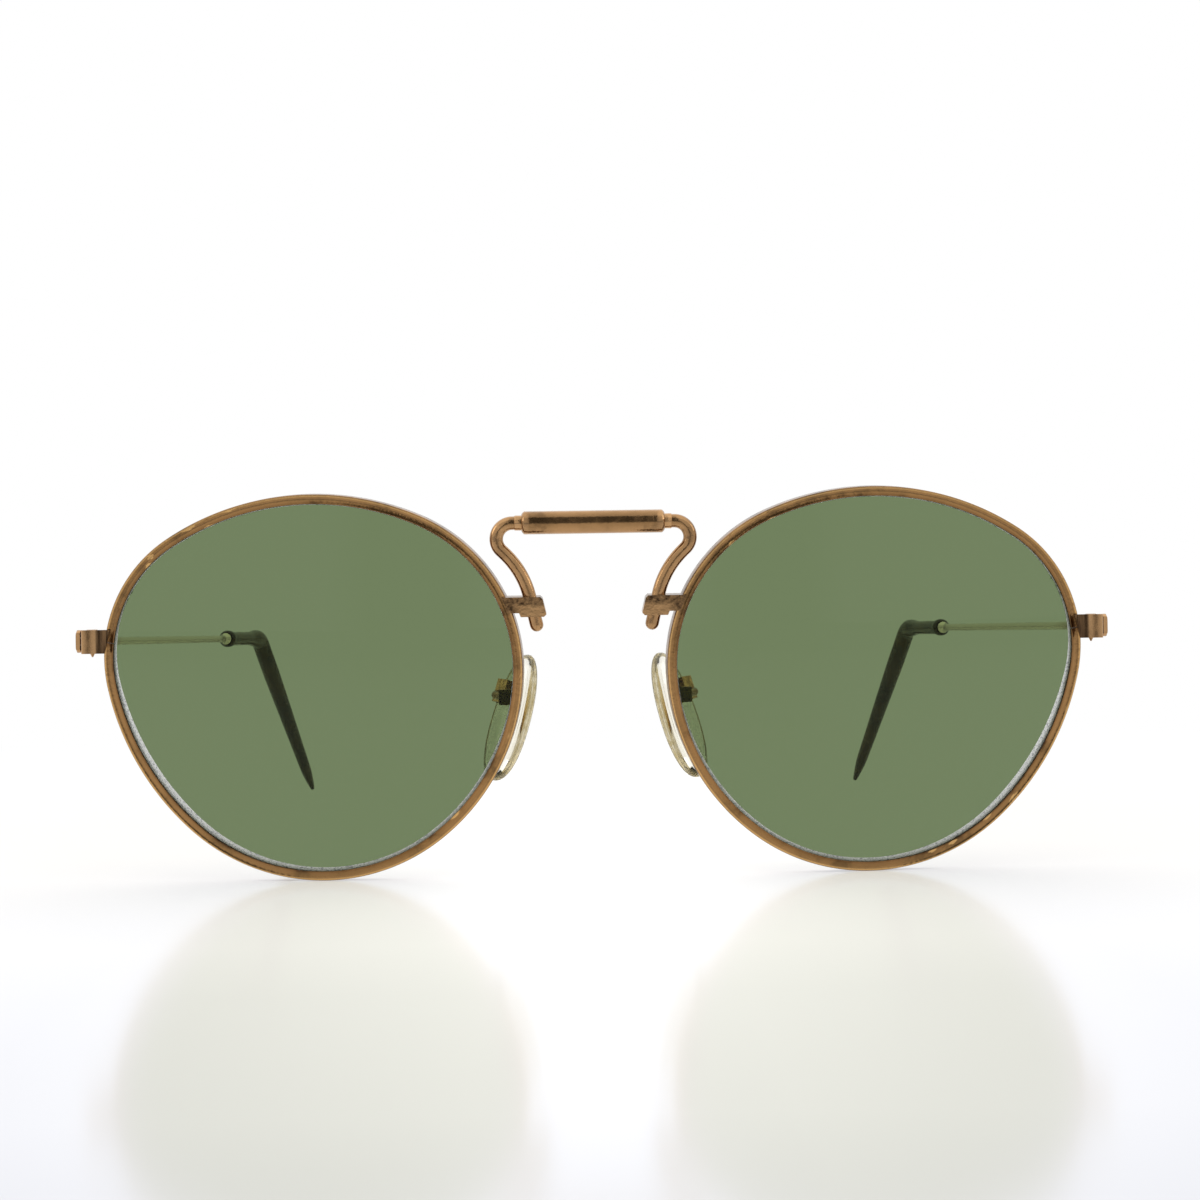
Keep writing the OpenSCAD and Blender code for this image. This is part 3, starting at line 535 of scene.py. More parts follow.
def greenSunGlass():
    # Crown glass coloured through and polished: a flat grey green, darker than what is behind it
    material, tree = newMaterial("polishedGreenSunGlass")
    shader = addNode(tree, "BsdfPrincipled", {
        "Base Color": linearColour(glassLook["tone"]), "Roughness": 0, "IOR": glassLook["ior"],
        "Transmission Weight": 1, "Specular Tint": (glassLook["glint"],) * 3 + (1,)})
    surface = seeThrough(tree, shader, glassLook["shadow"])
    addNode(tree, "OutputMaterial", {"Surface": surface})
    return material


def groundGlassEdge():
    # The same glass where a wheel has cut it: white and frosty, mottled by the grit
    material, tree = newMaterial("wheelGroundGlassEdge")
    grit, tone = mottled(tree, glassLook["grit"], 6, glassLook["ground"])
    relief = addNode(tree, "Bump", {
        "Height": grit, "Strength": 0.4, "Distance": glassLook["gritDepth"] * mm})
    shader = addNode(tree, "BsdfPrincipled", {
        "Base Color": tone, "Roughness": 0.45, "IOR": glassLook["ior"],
        "Transmission Weight": 0.25, "Normal": relief})
    addNode(tree, "OutputMaterial", {"Surface": shader})
    return material


padPlasticLook = {
    "tone": "FBF8EE",
    "shadow": "E8E0C8",  # the light that falls through
    "ior": 1.48,
    "amber": "E6D8A8",  # what a long way through it looks like
    "density": 25,  # higher makes it amber sooner
    "cloud": 1.1,  # mm across a cloudy spot of the edge
    "edge": ((0.35, "BDAC7A"), (0.65, "E4DABA")),  # the edge's painted amber, over the noise of the clouds
}


def agedClearAcetate():
    # Moulded clear acetate that has yellowed: clear, but amber where light runs a long way in it
    look = padPlasticLook
    material, tree = newMaterial("mouldedClearPadPlastic")
    shader = addNode(tree, "BsdfPrincipled", {
        "Base Color": linearColour(look["tone"]), "Roughness": 0.04, "IOR": look["ior"],
        "Transmission Weight": 1})
    amber = addNode(tree, "VolumeAbsorption", {
        "Color": linearColour(look["amber"]), "Density": look["density"]})
    addNode(tree, "OutputMaterial", {
        "Surface": seeThrough(tree, shader, look["shadow"]), "Volume": amber})
    return material


def padEdgeWithPaintedAmber():
    # The edge of the same acetate, cloudier, and painted amber: the tint of the long way
    # that light runs through it there
    look = padPlasticLook
    material, tree = newMaterial("padPlasticEdgeWithPaintedAmber")
    _, tone = mottled(tree, look["cloud"], 4, look["edge"])
    shader = addNode(tree, "BsdfPrincipled", {
        "Base Color": tone, "Roughness": 0.12, "IOR": look["ior"], "Transmission Weight": 0.7})
    surface = seeThrough(tree, shader, look["shadow"])
    addNode(tree, "OutputMaterial", {"Surface": surface})
    return material


tipPlasticLook = {
    "tones": ((0.35, "2C200A"), (0.7, "4F3C16")),
    "cloud": 6,  # mm across a lighter cloud in the plastic
    "scuff": 1.2,  # mm across a scuff
    "scuffFrom": (0.35, 0.7),  # of the scuffs' noise, over which the polish is lost
    "ior": 1.49,
    "polish": (0.1, 0.3),  # roughness where polished, and where scuffed
}


def brownTipPlastic():
    # Polished dark brown acetate over the wire: nearly black, with a sharp pale sheen
    look = tipPlasticLook
    material, tree = newMaterial("polishedBrownTipPlastic")
    _, tone = mottled(tree, look["cloud"], 3, look["tones"])
    place = addNode(tree, "TexCoord").outputs["Object"]
    scuffs = addNode(tree, "TexNoise", {
        "Vector": place, "Scale": 1 / (look["scuff"] * mm), "Detail": 5})
    rough = addNode(tree, "MapRange", {
        "Value": scuffs, "From": look["scuffFrom"], "To": look["polish"]})
    shader = addNode(tree, "BsdfPrincipled", {
        "Base Color": tone, "Roughness": rough, "IOR": look["ior"]})
    addNode(tree, "OutputMaterial", {"Surface": shader})
    return material


gold = antiqueGoldPlate("antiqueGoldPlate", "A07C55", stained=0.25, roughness=0.14)
# the rims' edges take a bright gold tone: a painted highlight along their corners
rimGold = antiqueGoldPlate("dulledGoldPlateOfRims", "8A6640", stained=0.45, roughness=0.17,
                           rubbedHighlight="E2B676")
# painted shade: near black plate for the lip's inner flat beside the glass, which lies in the shade
# of the gap there
lipShadeGold = antiqueGoldPlate("paintedShadeInsideRims", "2C2118", stained=0.9, roughness=0.3)
armGold = antiqueGoldPlate("stainedGoldPlate", "A07C55", stained=0.9, roughness=0.22)
screwGold = antiqueGoldPlate("dullScrewPlate", "9C7A54", stained=0.5, roughness=0.3)
lugGold = stainedLugPlate()
strapGold = strapPlateWithPaintedShade()
wornTemples = wornTemplePlate()
glass = greenSunGlass()
groundGlass = groundGlassEdge()
padPlastic = agedClearAcetate()
padEdgePaintedAmber = padEdgeWithPaintedAmber()
tipPlastic = brownTipPlastic()
print("materials made")


# Rims: drawn channel wire with a shallow groove along its front, bent round the lens

def cornerArc(x, y, radius, turns):
    return [(x + radius * heading(a).x, y + radius * heading(a).y) for a in turns]


def rimProfile():
    # (outward, forward) round the section, from the front outer corner
    r, small, half = rimShape["round"], rimShape["lipRound"], rimShape["depth"] / 2
    out, lip = rimShape["outside"], -rimShape["inside"]
    play, dip, curve = rimShape["play"], rimShape["channel"], rimShape["channelRadius"]
    mouth = lensShape["bevelWidth"] / 2 + play
    section = cornerArc(out - r, half - r, r, (0, 22, 45, 68, 90))
    middle, reach = (out + lip) / 2, math.sqrt(curve ** 2 - (curve - dip) ** 2)
    for k in range(9):
        u = middle + reach * (1 - k / 4)
        section.append((u, half - dip - math.sqrt(curve ** 2 - (u - middle) ** 2) + curve))
    section += cornerArc(lip + small, half - small, small, (90, 135, 180))
    section += [(lip, mouth), (play, 0), (lip, -mouth)]
    section += cornerArc(lip + small, small - half, small, (180, 225, 270))
    section += cornerArc(out - r, r - half, r, (-90, -68, -45, -22, 0))
    return section


def makeRims():
    corner, reach = arcCentres[2], arcRadii[2] + rimShape["outside"]
    slitWay = math.degrees(math.asin((rimShape["slitHeight"] - corner.y) / reach))
    half = math.degrees(rimShape["slit"] / 2 / reach)
    profile = rimProfile()
    steps, count = rimShape["steps"], len(profile)
    rings = []
    for k in range(steps + 1):
        way = slitWay + half + (360 - 2 * half) * k / steps
        ring = []
        for outward, forward in profile:
            spot = outlineAt(way, outward)
            ring.append((spot.x, -forward, spot.y))
        rings.append(ring)
    points, faces = skin(rings)
    # the flat of the lip, beside the glass, is painted black as the shade of the gap there
    lip = {k for k, (outward, forward) in enumerate(profile) if outward == -rimShape["inside"]}
    kinds = [int({k, (k + 1) % count} <= lip) for k in range(count)] * steps + [0, 0]
    makePair("Rim", points, faces, [rimGold, lipShadeGold], "front", "rim", eyePlace,
             "antique_gold_plate", kinds=kinds, sharp=30)


makeRims()
print("rims made")


# Lenses: meniscus glass with a pointed edge in the groove and a ground facet in front of it

def faceHeight(spot, inset=0):
    # how far the face stands in front of the middle of the rim; inset gives the back face
    x, z = spot.x - lensShape["bulge"][0], spot.y - lensShape["bulge"][1]
    curve, sideCurve = lensShape["curve"], lensShape["sideCurve"]
    edge = lensShape["width"] / 2 - lensShape["bevel"]
    sag = curve - math.sqrt(curve ** 2 - edge ** 2)
    crown = lensShape["bevelWidth"] / 2 + lensShape["facetRise"] + sag
    ring = curve - sideCurve + math.sqrt((sideCurve - inset) ** 2 - z * z)
    return crown - curve + math.sqrt(ring ** 2 - x * x)


def makeLenses():
    steps, hoops = 300, 26
    foot, bevel, thickness = lensShape["bevelWidth"] / 2, lensShape["bevel"], lensShape["thickness"]
    ways = [360 * k / steps for k in range(steps)]

    def facetWidth(way, least=0.02):
        # as wide as the face stands above the foot there, which a few tries find
        width = 0.3
        for _ in range(12):
            rise = faceHeight(outlineAt(way, -bevel - width)) - foot
            width = 0.5 * width + 0.5 * max(least, rise)
        return width

    def loopAt(insets, share, height=0, behind=None):
        # a loop in from the outline, at a height or, where behind is given, on a face
        loop = []
        for way, inset in zip(ways, insets):
            spot = outlineAt(way, -inset) * share
            rise = height if behind is None else faceHeight(spot, behind)
            loop.append((spot.x, -rise, spot.y))
        return loop

    inside = [bevel + facetWidth(way) for way in ways]
    rim, point = [bevel] * steps, [0] * steps
    loops = [loopAt(inside, i / hoops, behind=0) for i in range(1, hoops + 1)]
    loops += [loopAt(rim, 1, foot), loopAt(point, 1), loopAt(rim, 1, -foot)]
    loops += [loopAt(rim, i / hoops, behind=thickness) for i in range(hoops, 0, -1)]
    points, faces = skin(loops, capped=False)
    middle = Vector((0, 0))
    closeWithFans(points, faces, steps, (0, -faceHeight(middle), 0),
                  (0, -faceHeight(middle, thickness), 0))
    # the facet, the point and the back rim are ground, and the two faces are polished
    kinds = [int(hoops - 1 <= i < hoops + 3) for i in range(len(loops) - 1) for _ in range(steps)]
    kinds += [0, 0] * steps
    makePair("Lens", points, faces, [glass, groundGlass], "front", "lens", eyePlace,
             "green_glass", kinds=kinds, sharp=25)


makeLenses()
print("lenses made")


# Bridge: one wire bent to a high arch, a tube over its middle, and a lug on each rim

bridgeShape = {
    "wire": 0.85,  # radius
    "ferrule": 0.95,  # radius
    "stub": 1.2,  # straight wire between the sleeve and the elbow
    "sleeve": 1.45,  # radius
    "sleeveLength": 17.9,
    "sleeveBevel": 0.35,
    "elbow": 2.0,  # radius
    "splay": 46.4,  # degrees past straight down that the elbow bends
    "link": 0.4,  # straight wire after it
    "endLean": 13,  # degrees off straight down at the lug, after the long bend back
    "lugReach": 8.1,  # from the middle of the nose to the wire at the lug
    "lugHeight": 2.5,
    "pin": 2.0,  # wire below the lug
    "lugEdge": 0.18,  # width of the lugs' broken edges
}


def makeBridge():
    b = bridgeShape
    half = b["sleeveLength"] / 2 + b["stub"]
    out, down = heading(b["splay"])
    lean = heading(b["endLean"]).x
    topX = half + b["elbow"] * out - b["link"] * down
    armRadius = (topX - b["lugReach"]) / (lean - out)
    steps = [(half, 0), (90 + b["splay"], b["elbow"]), (b["link"], 0),
             (b["splay"] - b["endLean"], armRadius, 180), (b["lugHeight"] / lean + b["pin"], 0)]
    across = shift(0, 0, stance["bridgeHeight"]) @ turn(90, "Y")
    places = [(gone, across @ place) for gone, place in walk(steps, stride=0.3, bend=3)]
    rings = wireRings(places, b["wire"])
    flip = Matrix.Diagonal((-1, 1, 1, 1))
    mirrorRings = [[flip @ p for p in ring] for ring in reversed(rings[1:])]
    points, faces = skin(mirrorRings + rings)
    makePiece("bridgeWire", points, faces, [gold], "front", ["bridge_wire"], frontPlace,
              "antique_gold_plate")
    # the ferrule ends beside the sleeve: (mm along the bridge, radius)
    stop = [(b["sleeveLength"] / 2 - 0.2, b["ferrule"]), (half - 0.42, b["ferrule"]),
            (half - 0.32, b["ferrule"] - 0.03), (half - 0.26, b["wire"] - 0.02)]
    points, faces = skin([ringAt(across @ shift(0, 0, at), r, r) for at, r in stop])
    makePair("SleeveStop", points, faces, [gold], "front", None, frontPlace,
             "antique_gold_plate")
    # the sleeve outside from end to end, and its bore back again
    end, bevel, r = b["sleeveLength"] / 2, b["sleeveBevel"], b["sleeve"]
    outline = [(-end, r - bevel), (-end + 0.08, r - bevel + 0.12),
               (-end + bevel * 0.7, r - 0.06), (-end + bevel, r)]
    outline += [(end * k / 8, r) for k in range(-7, 8)]
    outline += [(-x, y) for x, y in reversed(outline[:4])]
    outline += [(x, b["wire"] + 0.01) for x in (end, -end)]
    rings = [ringAt(across @ shift(0, 0, at), y, y, count=40) for at, y in outline]
    points, faces = skin(rings, joined=True)
    makePiece("bridgeSleeve", points, faces, [gold], "front", ["bridge_sleeve"], frontPlace,
              "antique_gold_plate", sharp=50)
    for side, _ in sides:
        polishedNode(side + "_bridge_lug", side + "BridgeLug", lugGold, "front", b["lugEdge"])


makeBridge()
print("bridge made")


# Endpieces, hinges and screws keep their solids, with the edges broken

hardware = {  # material, body, width of the broken edges in mm, slot
    "endpiece": (strapGold, "front", 0.1, "antique_gold_plate"),
    "upper_closing_block": (gold, "front", 0.07, "antique_gold_plate"),
    "lower_closing_block": (gold, "front", 0.07, "antique_gold_plate"),
    "front_hinge": (gold, "front", 0.06, "antique_gold_plate"),
    "closing_screw": (screwGold, "front", 0.03, "screw_metal"),
    "hinge_screw": (screwGold, "front", 0.03, "screw_metal"),
    "pad_arm": (armGold, "front", 0.08, "worn_gold_plate"),
    "pad_box": (gold, "front", 0.05, "antique_gold_plate"),
    "pad_screw": (screwGold, "front", 0.03, "screw_metal"),
    "temple_hinge": (gold, "side", 0.05, "antique_gold_plate"),
    "first_rivet": (screwGold, "side", 0.03, "screw_metal"),
    "second_rivet": (screwGold, "side", 0.03, "screw_metal"),
}


def makeHardware():
    for side, _ in sides:
        for part, (material, body, width, slot) in hardware.items():
            name = side + "".join(word.capitalize() for word in part.split("_"))
            polishedNode(side + "_" + part, name, material, bodyOn(side, body), width)


makeHardware()
print("endpieces, hinges and screws made")


# Temples: one wire, hammered flat at the hinge, with a horn where it enters the tip

templeShape = {
    "wire": 0.55,  # radius
    "length": 78,  # behind the hinge screw, to the toe
    "plateIn": 1.05,  # from the hinge screw out to the flat
    "plateThick": 0.55,
    "plateHigh": 2.9,
    "plateCorner": (0.4, 0.35),  # cut off the flat's front corners, along and up
    "plateSquareness": 0.32,
    "front": 2.0,  # flat in front of the hinge screw
    "flat": 6,  # flat behind it
    "taper": 7,  # from the flat to the round wire
    "early": 1,  # how much sooner the wire thickens than it narrows
    "toe": 5,  # degrees
    "toeRadius": 25,
    "flare": 1.6,  # length of the horn
    "flareEnd": 1.0,  # radius of the horn at the tip
}
tipShape = {
    "collar": 1.35,  # radius
    "collarLength": 1.6,
    "collarRound": 0.35,
    "collarStep": 0.3,
    "neck": 1.1,  # radius
    "full": 1.4,  # radius
    "swell": (4, 0.5),  # before the bend, where it begins to swell and where it is full
    "straight": 16,  # from its front to the bend
    "drop": 41,  # degrees
    "bend": 4.5,  # radius of the bend
    "round": 8,  # after the bend, before it tapers
    "pointLength": 7,
    "point": 0.95,  # radius where the point begins
    "pointPower": 1.6,  # higher keeps the point thick farther down
    "end": 0.35,  # radius
}


slack = 0.01  # mm, between places along the wire that count as one


def makeTemples():
    # the wire as far as the last place before its tip
    t, tip = templeShape, tipShape
    middle = t["plateIn"] + t["plateThick"] / 2
    start = templePlace @ shift(middle, -t["front"], 0) @ turn(-90, "X")
    steps = [(t["length"] + t["front"], 0), (t["toe"], t["toeRadius"], 180),
             (t["flare"] + tip["straight"], 0)]
    toe = math.radians(t["toe"]) * t["toeRadius"]
    tipStart = t["front"] + t["length"] + toe + t["flare"]
    flat, high = t["front"] + t["flat"], t["plateHigh"] / 2
    roundStart, (along, up) = flat + t["taper"], t["plateCorner"]
    thickStops = [(flat - t["early"], t["plateThick"] / 2), (roundStart, t["wire"])]
    highStops = [(0, high - up), (along, high), (flat, high), (roundStart, t["wire"])]
    squareStops = [(flat, t["plateSquareness"]), (roundStart, 1.0)]
    flareStops = [(tipStart - t["flare"], 0), (tipStart, t["flareEnd"] - t["wire"])]
    rings = []
    for gone, place in walk(steps, stride=0.4, bend=1):
        if gone > tipStart - slack:
            break
        grow = blendValue(flareStops, gone)
        thick, tall = blendValue(thickStops, gone) + grow, blendValue(highStops, gone) + grow
        rings.append(ringAt(place, thick, tall, blendValue(squareStops, gone), count=32))
    points, faces = skin(rings)
    makePair("Temple", points, faces, [wornTemples], "side", "temple", start,
             "antique_gold_plate", sharp=45)
    return start, steps, tipStart


def makeTips(start, steps, tipStart):
    tip = tipShape
    steps = steps + [(tip["drop"], tip["bend"], -90)]
    # the leg runs on until its end touches the floor
    bendEnd = start @ walk(steps, stride=0.4, bend=2)[-1][1]
    fall = -(bendEnd.to_3x3() @ Vector((0, 0, 1))).z
    leg = (bendEnd.translation.z - tip["end"]) / fall
    path = walk(steps + [(leg + tip["end"], 0)], stride=0.4, bend=2)
    bendStart, collarEnd = tipStart + tip["straight"], tipStart + tip["collarLength"]
    legStart = bendStart + math.radians(tip["drop"]) * tip["bend"]
    end = legStart + leg + tip["end"]
    stops = [(tipStart, tip["collar"] - tip["collarStep"]),
             (tipStart + tip["collarRound"], tip["collar"]),
             (collarEnd - tip["collarRound"], tip["collar"]),
             (collarEnd + tip["collarStep"], tip["neck"]),
             (bendStart - tip["swell"][0], tip["neck"]),
             (bendStart - tip["swell"][1], tip["full"])]
    taperStart = legStart + tip["round"]
    pointStart, roundStart = end - tip["pointLength"], end - tip["end"]
    least = 0.01  # keeps the last ring open
    rings = []
    for gone, place in path:
        if gone < tipStart - slack:
            continue
        r = blendValue(stops, gone)
        if gone > taperStart:
            share = min(1, (gone - taperStart) / (pointStart - taperStart))
            r += (tip["point"] - r) * share
        if gone > pointStart:
            share = min(1, (gone - pointStart) / (roundStart - pointStart))
            r += (tip["end"] - r) * share ** tip["pointPower"]
        if gone > roundStart:
            r *= math.sqrt(max(least, 1 - ((gone - roundStart) / tip["end"]) ** 2))
        rings.append(ringAt(place, r, r))
    points, faces = skin(rings)
    makePair("TempleTip", points, faces, [tipPlastic], "side", "temple_tip", start,
             "dark_brown_plastic", sharp=45)


makeTips(*makeTemples())
print("temples and tips made")


# Nose pads: clear moulded teardrops with a crowned face and a stem in the box

padShape = {
    "height": 16.9,
    "width": 7,
    "thick": 1.7,
    "crown": 0.5,  # how far the face bulges toward the nose
    "fuller": 0.1,  # share by which it is wider below than in the middle
    "corners": (0.86, 0.92),  # across and up; less than 1 is squarer than an ellipse
    "edgePower": 5,  # higher keeps it thick farther out
    "drop": 2.8,  # from its middle up to the pad screw
    "back": 1.15,  # from the pad screw to its back
    "stem": 0.5,  # half the stem's thickness
    "stemRadius": 0.75,
    "stemSunk": 0.02,
    "splay": 42,  # degrees
    "lean": 22,  # degrees
    "band": 0.9,  # share of the way out at which the edge with painted amber begins
}


def padOutline(degrees):
    # a rounded teardrop, fuller below; x across and y up
    p, (c, s) = padShape, heading(degrees)
    wide, high = p["width"] / 2 * (1 - p["fuller"] * s), p["height"] / 2
    return Vector((wide * math.copysign(abs(c) ** p["corners"][0], c),
                   high * math.copysign(abs(s) ** p["corners"][1], s)))


def makePads():
    p = padShape
    pivot = Vector(joints["left_pad_rock"]["pos_m"]) / mm
    flip = Matrix.Diagonal((1, -1, 1, 1))
    place = (shift(*pivot) @ turn(stance["lean"], "X") @ turn(180 - p["splay"], "Z") @ flip
             @ turn(p["lean"], "Y"))
    steps, hoops = 72, 12
    outline = [padOutline(360 * k / steps) for k in range(steps)]
    shares = [math.sin(math.pi / 2 * i / hoops) for i in range(1, hoops + 1)]
    half = p["thick"] / 2
    middle = p["back"] + half
    loops = []
    for face, crown, out in ((1, p["crown"], shares), (-1, 0, shares[-2::-1])):
        for share in out:
            edge = math.sqrt(max(0, 1 - share ** p["edgePower"]))
            x = middle + face * half * edge + crown * (1 - share ** 2)
            loops.append([(x, spot.x * share, spot.y * share - p["drop"]) for spot in outline])
    points, faces = skin(loops, capped=False)
    closeWithFans(points, faces, steps, (middle + half + p["crown"], 0, -p["drop"]),
                  (middle - half, 0, -p["drop"]))
    # the outer band gets the edge with painted amber
    out = [math.hypot(loop[0][1], loop[0][2] + p["drop"]) for loop in loops]
    kinds = [int(min(a, b) > p["band"] * max(out)) for a, b in zip(out, out[1:])
             for _ in range(steps)]
    kinds += [0, 0] * steps
    stemEnd = p["back"] + p["stemSunk"]
    outline = [tuple(heading(a) * p["stemRadius"]) for a in range(90, 271, 12)]
    outline += [(stemEnd, -p["stemRadius"]), (stemEnd, p["stemRadius"])]
    stemPoints, stemFaces = skin([[(x, y, z) for x, z in outline]
                                  for y in (-p["stem"], p["stem"])])
    for side, mirrored in sides:
        makePiece(side + "NosePad", points, faces, [padPlastic, padEdgePaintedAmber], side + "_pad",
                  [side + "_nose_pad"], place, "clear_pad", mirrored, kinds=kinds, sharp=60)
        makePiece(side + "PadStem", stemPoints, stemFaces, [padPlastic], side + "_pad", [],
                  place, "clear_pad", mirrored)


makePads()
print("nose pads made")


# Stage: white glossy table, white surround, soft lamps

stageLook = {
    "floor": 3.0,  # metres across
    "below": 0.01,  # mm from the lowest point of the glasses down to the table
    "warmWhite": "D0CDC6",
    "warmGlow": "FFFDF8",
    "glow": 0.415,  # how far the table is lifted towards white
    "coolShine": "D2DAF2",
    "shine": ((-0.15, 0.42), (-0.02, 0.17)),  # metres in front, and the mirror image's share there
    "blur": 0.14,  # roughness of that image
    "dim": ((-0.12, 1.0), (-0.2, 0.86), (-0.36, 0.25)),  # metres in front, and the painted brightness there
    "sides": ((0.012, 1.0), (0.05, 0.86)),  # metres aside, and the painted brightness there
    "leastSeen": 0.5,  # the eye sees the table no darker than this
    "fade": (0.01, 0.2),  # metres behind the glasses, over which it turns into plain white
    "edge": (0.235, 0.4),  # metres from the middle, over which it turns into plain white all round
    "hind": 0.1,  # share of the glow that polished metal sees behind the glasses
}


def glossyWhiteTable():
    # Polished white laminate under soft lamps: warm white, darker toward the eye and aside by
    # painted shade and lifted by a painted glow, with a cool blurred mirror image that fades
    # toward the glasses, and plain white far off
    look = stageLook
    material, tree = newMaterial("glossyWhiteTable")
    path = addNode(tree, "LightPath")
    place, parts, aside = placeOn(tree)

    # painted shade: how bright the table is, darker toward the eye and aside
    (nearEnd, nearTone), (midEnd, midTone), (farEnd, farTone) = look["dim"]
    front = addNode(tree, "MapRange", {
        "Value": parts["Y"], "From": (midEnd, nearEnd), "To": (midTone, nearTone)})
    farFront = addNode(tree, "MapRange", {
        "Value": parts["Y"], "From": (farEnd, midEnd), "To": (farTone / midTone, 1)})
    ends, tones = zip(*look["sides"])
    flank = addNode(tree, "MapRange", {"Value": aside, "From": ends, "To": tones})
    ahead = addNode(tree, "Math", {0: front, 1: farFront}, operation="MULTIPLY")
    around = addNode(tree, "Math", {0: ahead, 1: flank}, operation="MULTIPLY")
    least = addNode(tree, "Math", {0: path.outputs["Is Camera Ray"], 1: look["leastSeen"]},
                    operation="MULTIPLY")
    dim = addNode(tree, "Math", {0: around, 1: least}, operation="MAXIMUM")

    # its white, and the mirror image over it
    shade = addNode(tree, "VectorMath", {
        0: linearColour(look["warmWhite"])[:3], "Scale": dim}, operation="SCALE")
    matt = addNode(tree, "BsdfDiffuse", {"Color": shade})
    shine = addNode(tree, "BsdfGlossy", {
        "Color": linearColour(look["coolShine"]), "Roughness": look["blur"]})
    ends, shares = zip(*look["shine"])
    mirrorShare = addNode(tree, "MapRange", {"Value": parts["Y"], "From": ends, "To": shares})
    surface = addNode(tree, "MixShader", {0: mirrorShare, 1: matt, 2: shine})

    # a painted glow that lifts it towards white, for the eye and for polished metal
    far = addNode(tree, "MapRange", {"Value": parts["Y"], "From": look["fade"]})
    hind = addNode(tree, "MapRange", {"Value": far, "To": (1, look["hind"])})
    gleam = addNode(tree, "Math", {0: path.outputs["Is Glossy Ray"], 1: hind},
                    operation="MULTIPLY")
    seen = addNode(tree, "Math", {0: path.outputs["Is Camera Ray"], 1: gleam},
                   operation="MAXIMUM")
    lifted = addNode(tree, "Math", {0: seen, 1: dim}, operation="MULTIPLY")
    strength = addNode(tree, "Math", {0: lifted, 1: look["glow"]}, operation="MULTIPLY")
    glow = addNode(tree, "Emission", {
        "Color": linearColour(look["warmGlow"]), "Strength": strength})
    lit = addNode(tree, "AddShader", {0: surface, 1: glow})

    # plain white far off, for the eye, and through the lenses everywhere
    white = addNode(tree, "Emission", {"Color": (1, 1, 1, 1), "Strength": 1})
    spread = addNode(tree, "VectorMath", {0: place}, operation="LENGTH")
    edge = addNode(tree, "MapRange", {"Value": spread, "From": look["edge"]})
    plain = addNode(tree, "Math", {0: far, 1: edge}, operation="MAXIMUM")
    away = addNode(tree, "Math", {0: path.outputs["Is Camera Ray"], 1: plain},
                   operation="MULTIPLY")
    bare = addNode(tree, "Math", {0: away, 1: path.outputs["Is Transmission Ray"]},
                   operation="MAXIMUM")
    mixed = addNode(tree, "MixShader", {0: bare, 1: lit, 2: white})
    addNode(tree, "OutputMaterial", {"Surface": mixed})
    return material


def makeStage():
    half = stageLook["floor"] / 2
    corners = [(-half, -half, 0), (half, -half, 0), (half, half, 0), (-half, half, 0)]
    mesh = bpy.data.meshes.new("tableTop")
    mesh.from_pydata(corners, [], [(0, 1, 2, 3)])
    mesh.materials.append(glossyWhiteTable())
    table = bpy.data.objects.new("tableTop", mesh)
    bpy.context.scene.collection.objects.link(table)
    table.location.z = -stageLook["below"] * mm


worldLook = {
    "behind": 1.0,  # brightness behind the glasses
    "front": 0.11,  # brightness of the room in front of them
    "spread": (-0.3, 1.1),  # of the direction backward, over which one turns into the other
    "rise": 0.5,  # how much of the brightness behind there is overhead
    "sides": 0.95,  # brightness beside the camera
    "gap": (0.09, 0.21),  # how far aside the dark room ends and the bright sides are full
}


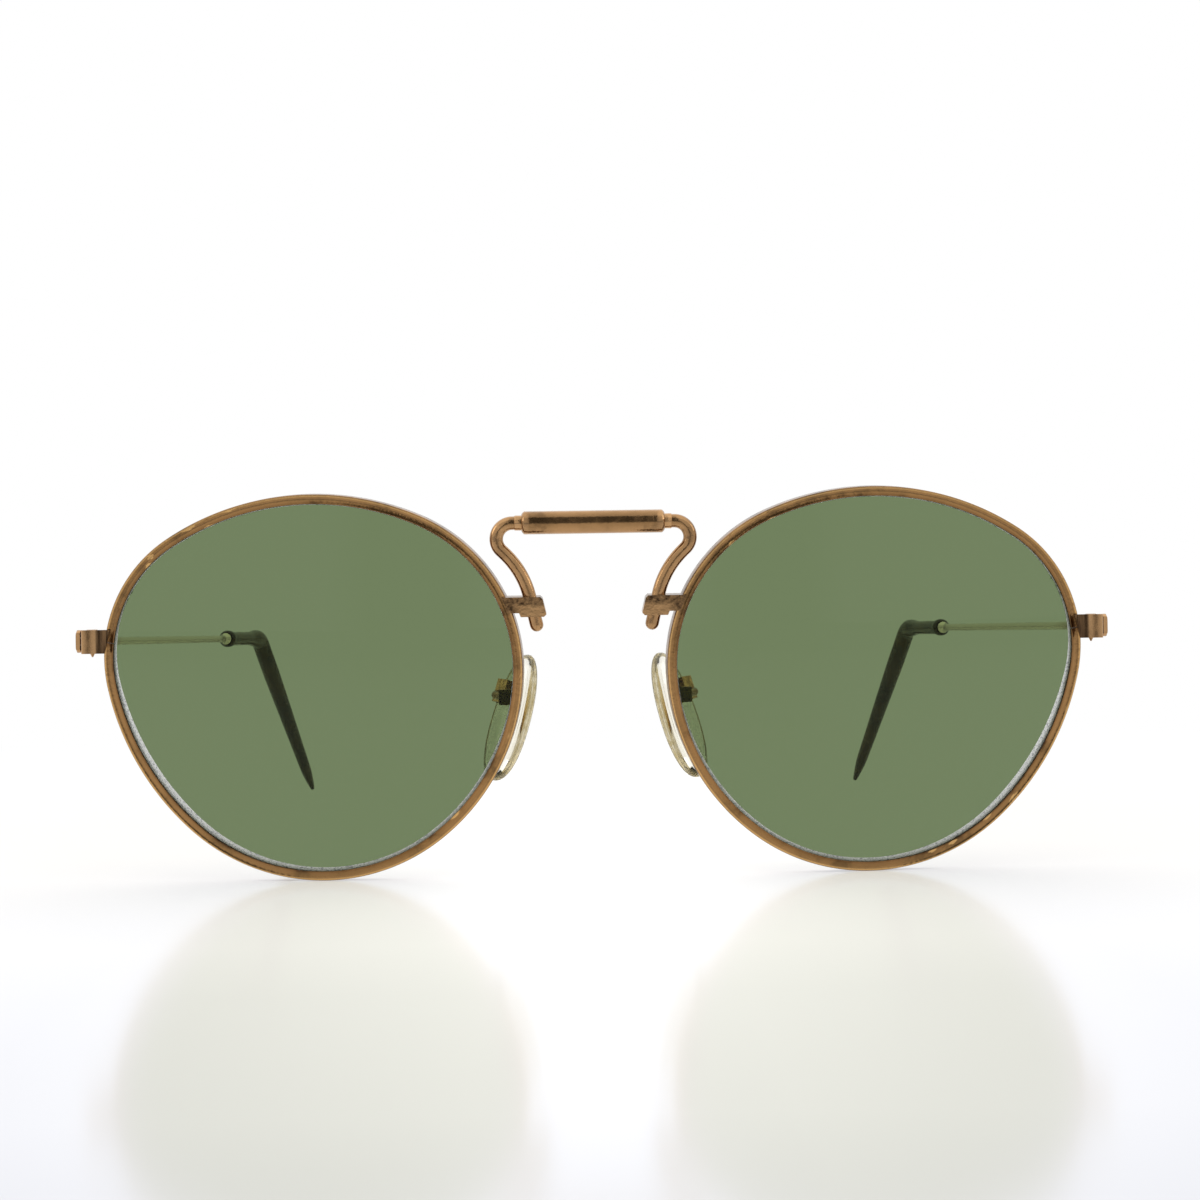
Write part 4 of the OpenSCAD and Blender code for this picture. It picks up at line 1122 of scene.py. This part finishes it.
def makeWorld():
    look = worldLook
    world = bpy.data.worlds.new("studioSurround")
    bpy.context.scene.world = world
    world.use_nodes = True
    tree = world.node_tree
    tree.nodes.clear()
    path = addNode(tree, "LightPath")
    way = addNode(tree, "TexCoord").outputs["Generated"]
    parts = addNode(tree, "SeparateXYZ", {"Vector": way})
    rise = addNode(tree, "Math", {0: parts.outputs["Z"], 1: look["rise"]}, operation="MULTIPLY")
    facing = addNode(tree, "Math", {0: parts.outputs["Y"], 1: rise}, operation="ADD")
    glow = addNode(tree, "MapRange", {
        "Value": facing, "From": look["spread"], "To": (look["front"], look["behind"])})
    aside = addNode(tree, "Math", {0: parts.outputs["X"]}, operation="ABSOLUTE")
    flank = addNode(tree, "MapRange", {
        "Value": aside, "From": look["gap"], "To": (0, look["sides"])})
    room = addNode(tree, "Math", {0: glow, 1: flank}, operation="MAXIMUM")
    # the eye sees plain white, straight and through the lenses
    seen = addNode(tree, "Math", {
        0: path.outputs["Is Camera Ray"], 1: path.outputs["Is Transmission Ray"]},
        operation="MAXIMUM")
    level = addNode(tree, "Math", {0: room, 1: seen}, operation="MAXIMUM")
    surround = addNode(tree, "Background", {"Color": (1, 1, 1, 1), "Strength": level})
    addNode(tree, "OutputWorld", {"Surface": surround})


lamps = {  # metres and watts
    "overheadSoftbox": {"at": (0, 0.5, 0.75), "size": 2.2, "power": 7.8, "to": (0, 0.5, 0)},
    "leftSoftbox": {"at": (-0.75, -0.1, 0.35), "size": 0.35, "power": 0.8, "to": (0, -0.05, 0.03)},
    "rightSoftbox": {"at": (0.75, -0.1, 0.35), "size": 0.35, "power": 0.8, "to": (0, -0.05, 0.03)},
}


def makeLamps():
    for name, look in lamps.items():
        lamp = bpy.data.lights.new(name, "AREA")
        lamp.size = look["size"]
        lamp.energy = look["power"]
        holder = bpy.data.objects.new(name, lamp)
        holder.location = look["at"]
        aim = Vector(look["to"]) - Vector(look["at"])
        holder.rotation_euler = aim.to_track_quat("-Z", "Y").to_euler()
        bpy.context.scene.collection.objects.link(holder)


cameraView = {
    "distance": 300,  # mm in front of the rims
    "height": 37.5,  # mm over the table
    "aside": -5,  # mm from the middle of the nose
    "pitch": 0.44,  # degrees down
    "yaw": -1.1,  # degrees to the left
    "roll": -0.9,  # degrees
    "focal": 71.4,  # mm
    "sensor": 36,  # mm across
}


def makeCamera():
    view = cameraView
    lens = bpy.data.cameras.new("frontCamera")
    lens.lens = view["focal"]
    lens.sensor_width = view["sensor"]
    lens.clip_start = 0.01
    holder = bpy.data.objects.new("frontCamera", lens)
    spot = shift(view["aside"] * mm, (frontLine - view["distance"]) * mm, view["height"] * mm)
    aimed = spot @ turn(view["yaw"], "Z") @ turn(90 - view["pitch"], "X")
    holder.matrix_world = aimed @ turn(view["roll"], "Z")
    bpy.context.scene.collection.objects.link(holder)
    bpy.context.scene.camera = holder


makeStage()
makeWorld()
makeLamps()
makeCamera()
bpy.context.scene.view_settings.view_transform = "Standard"
print("stage, lamps and camera made")
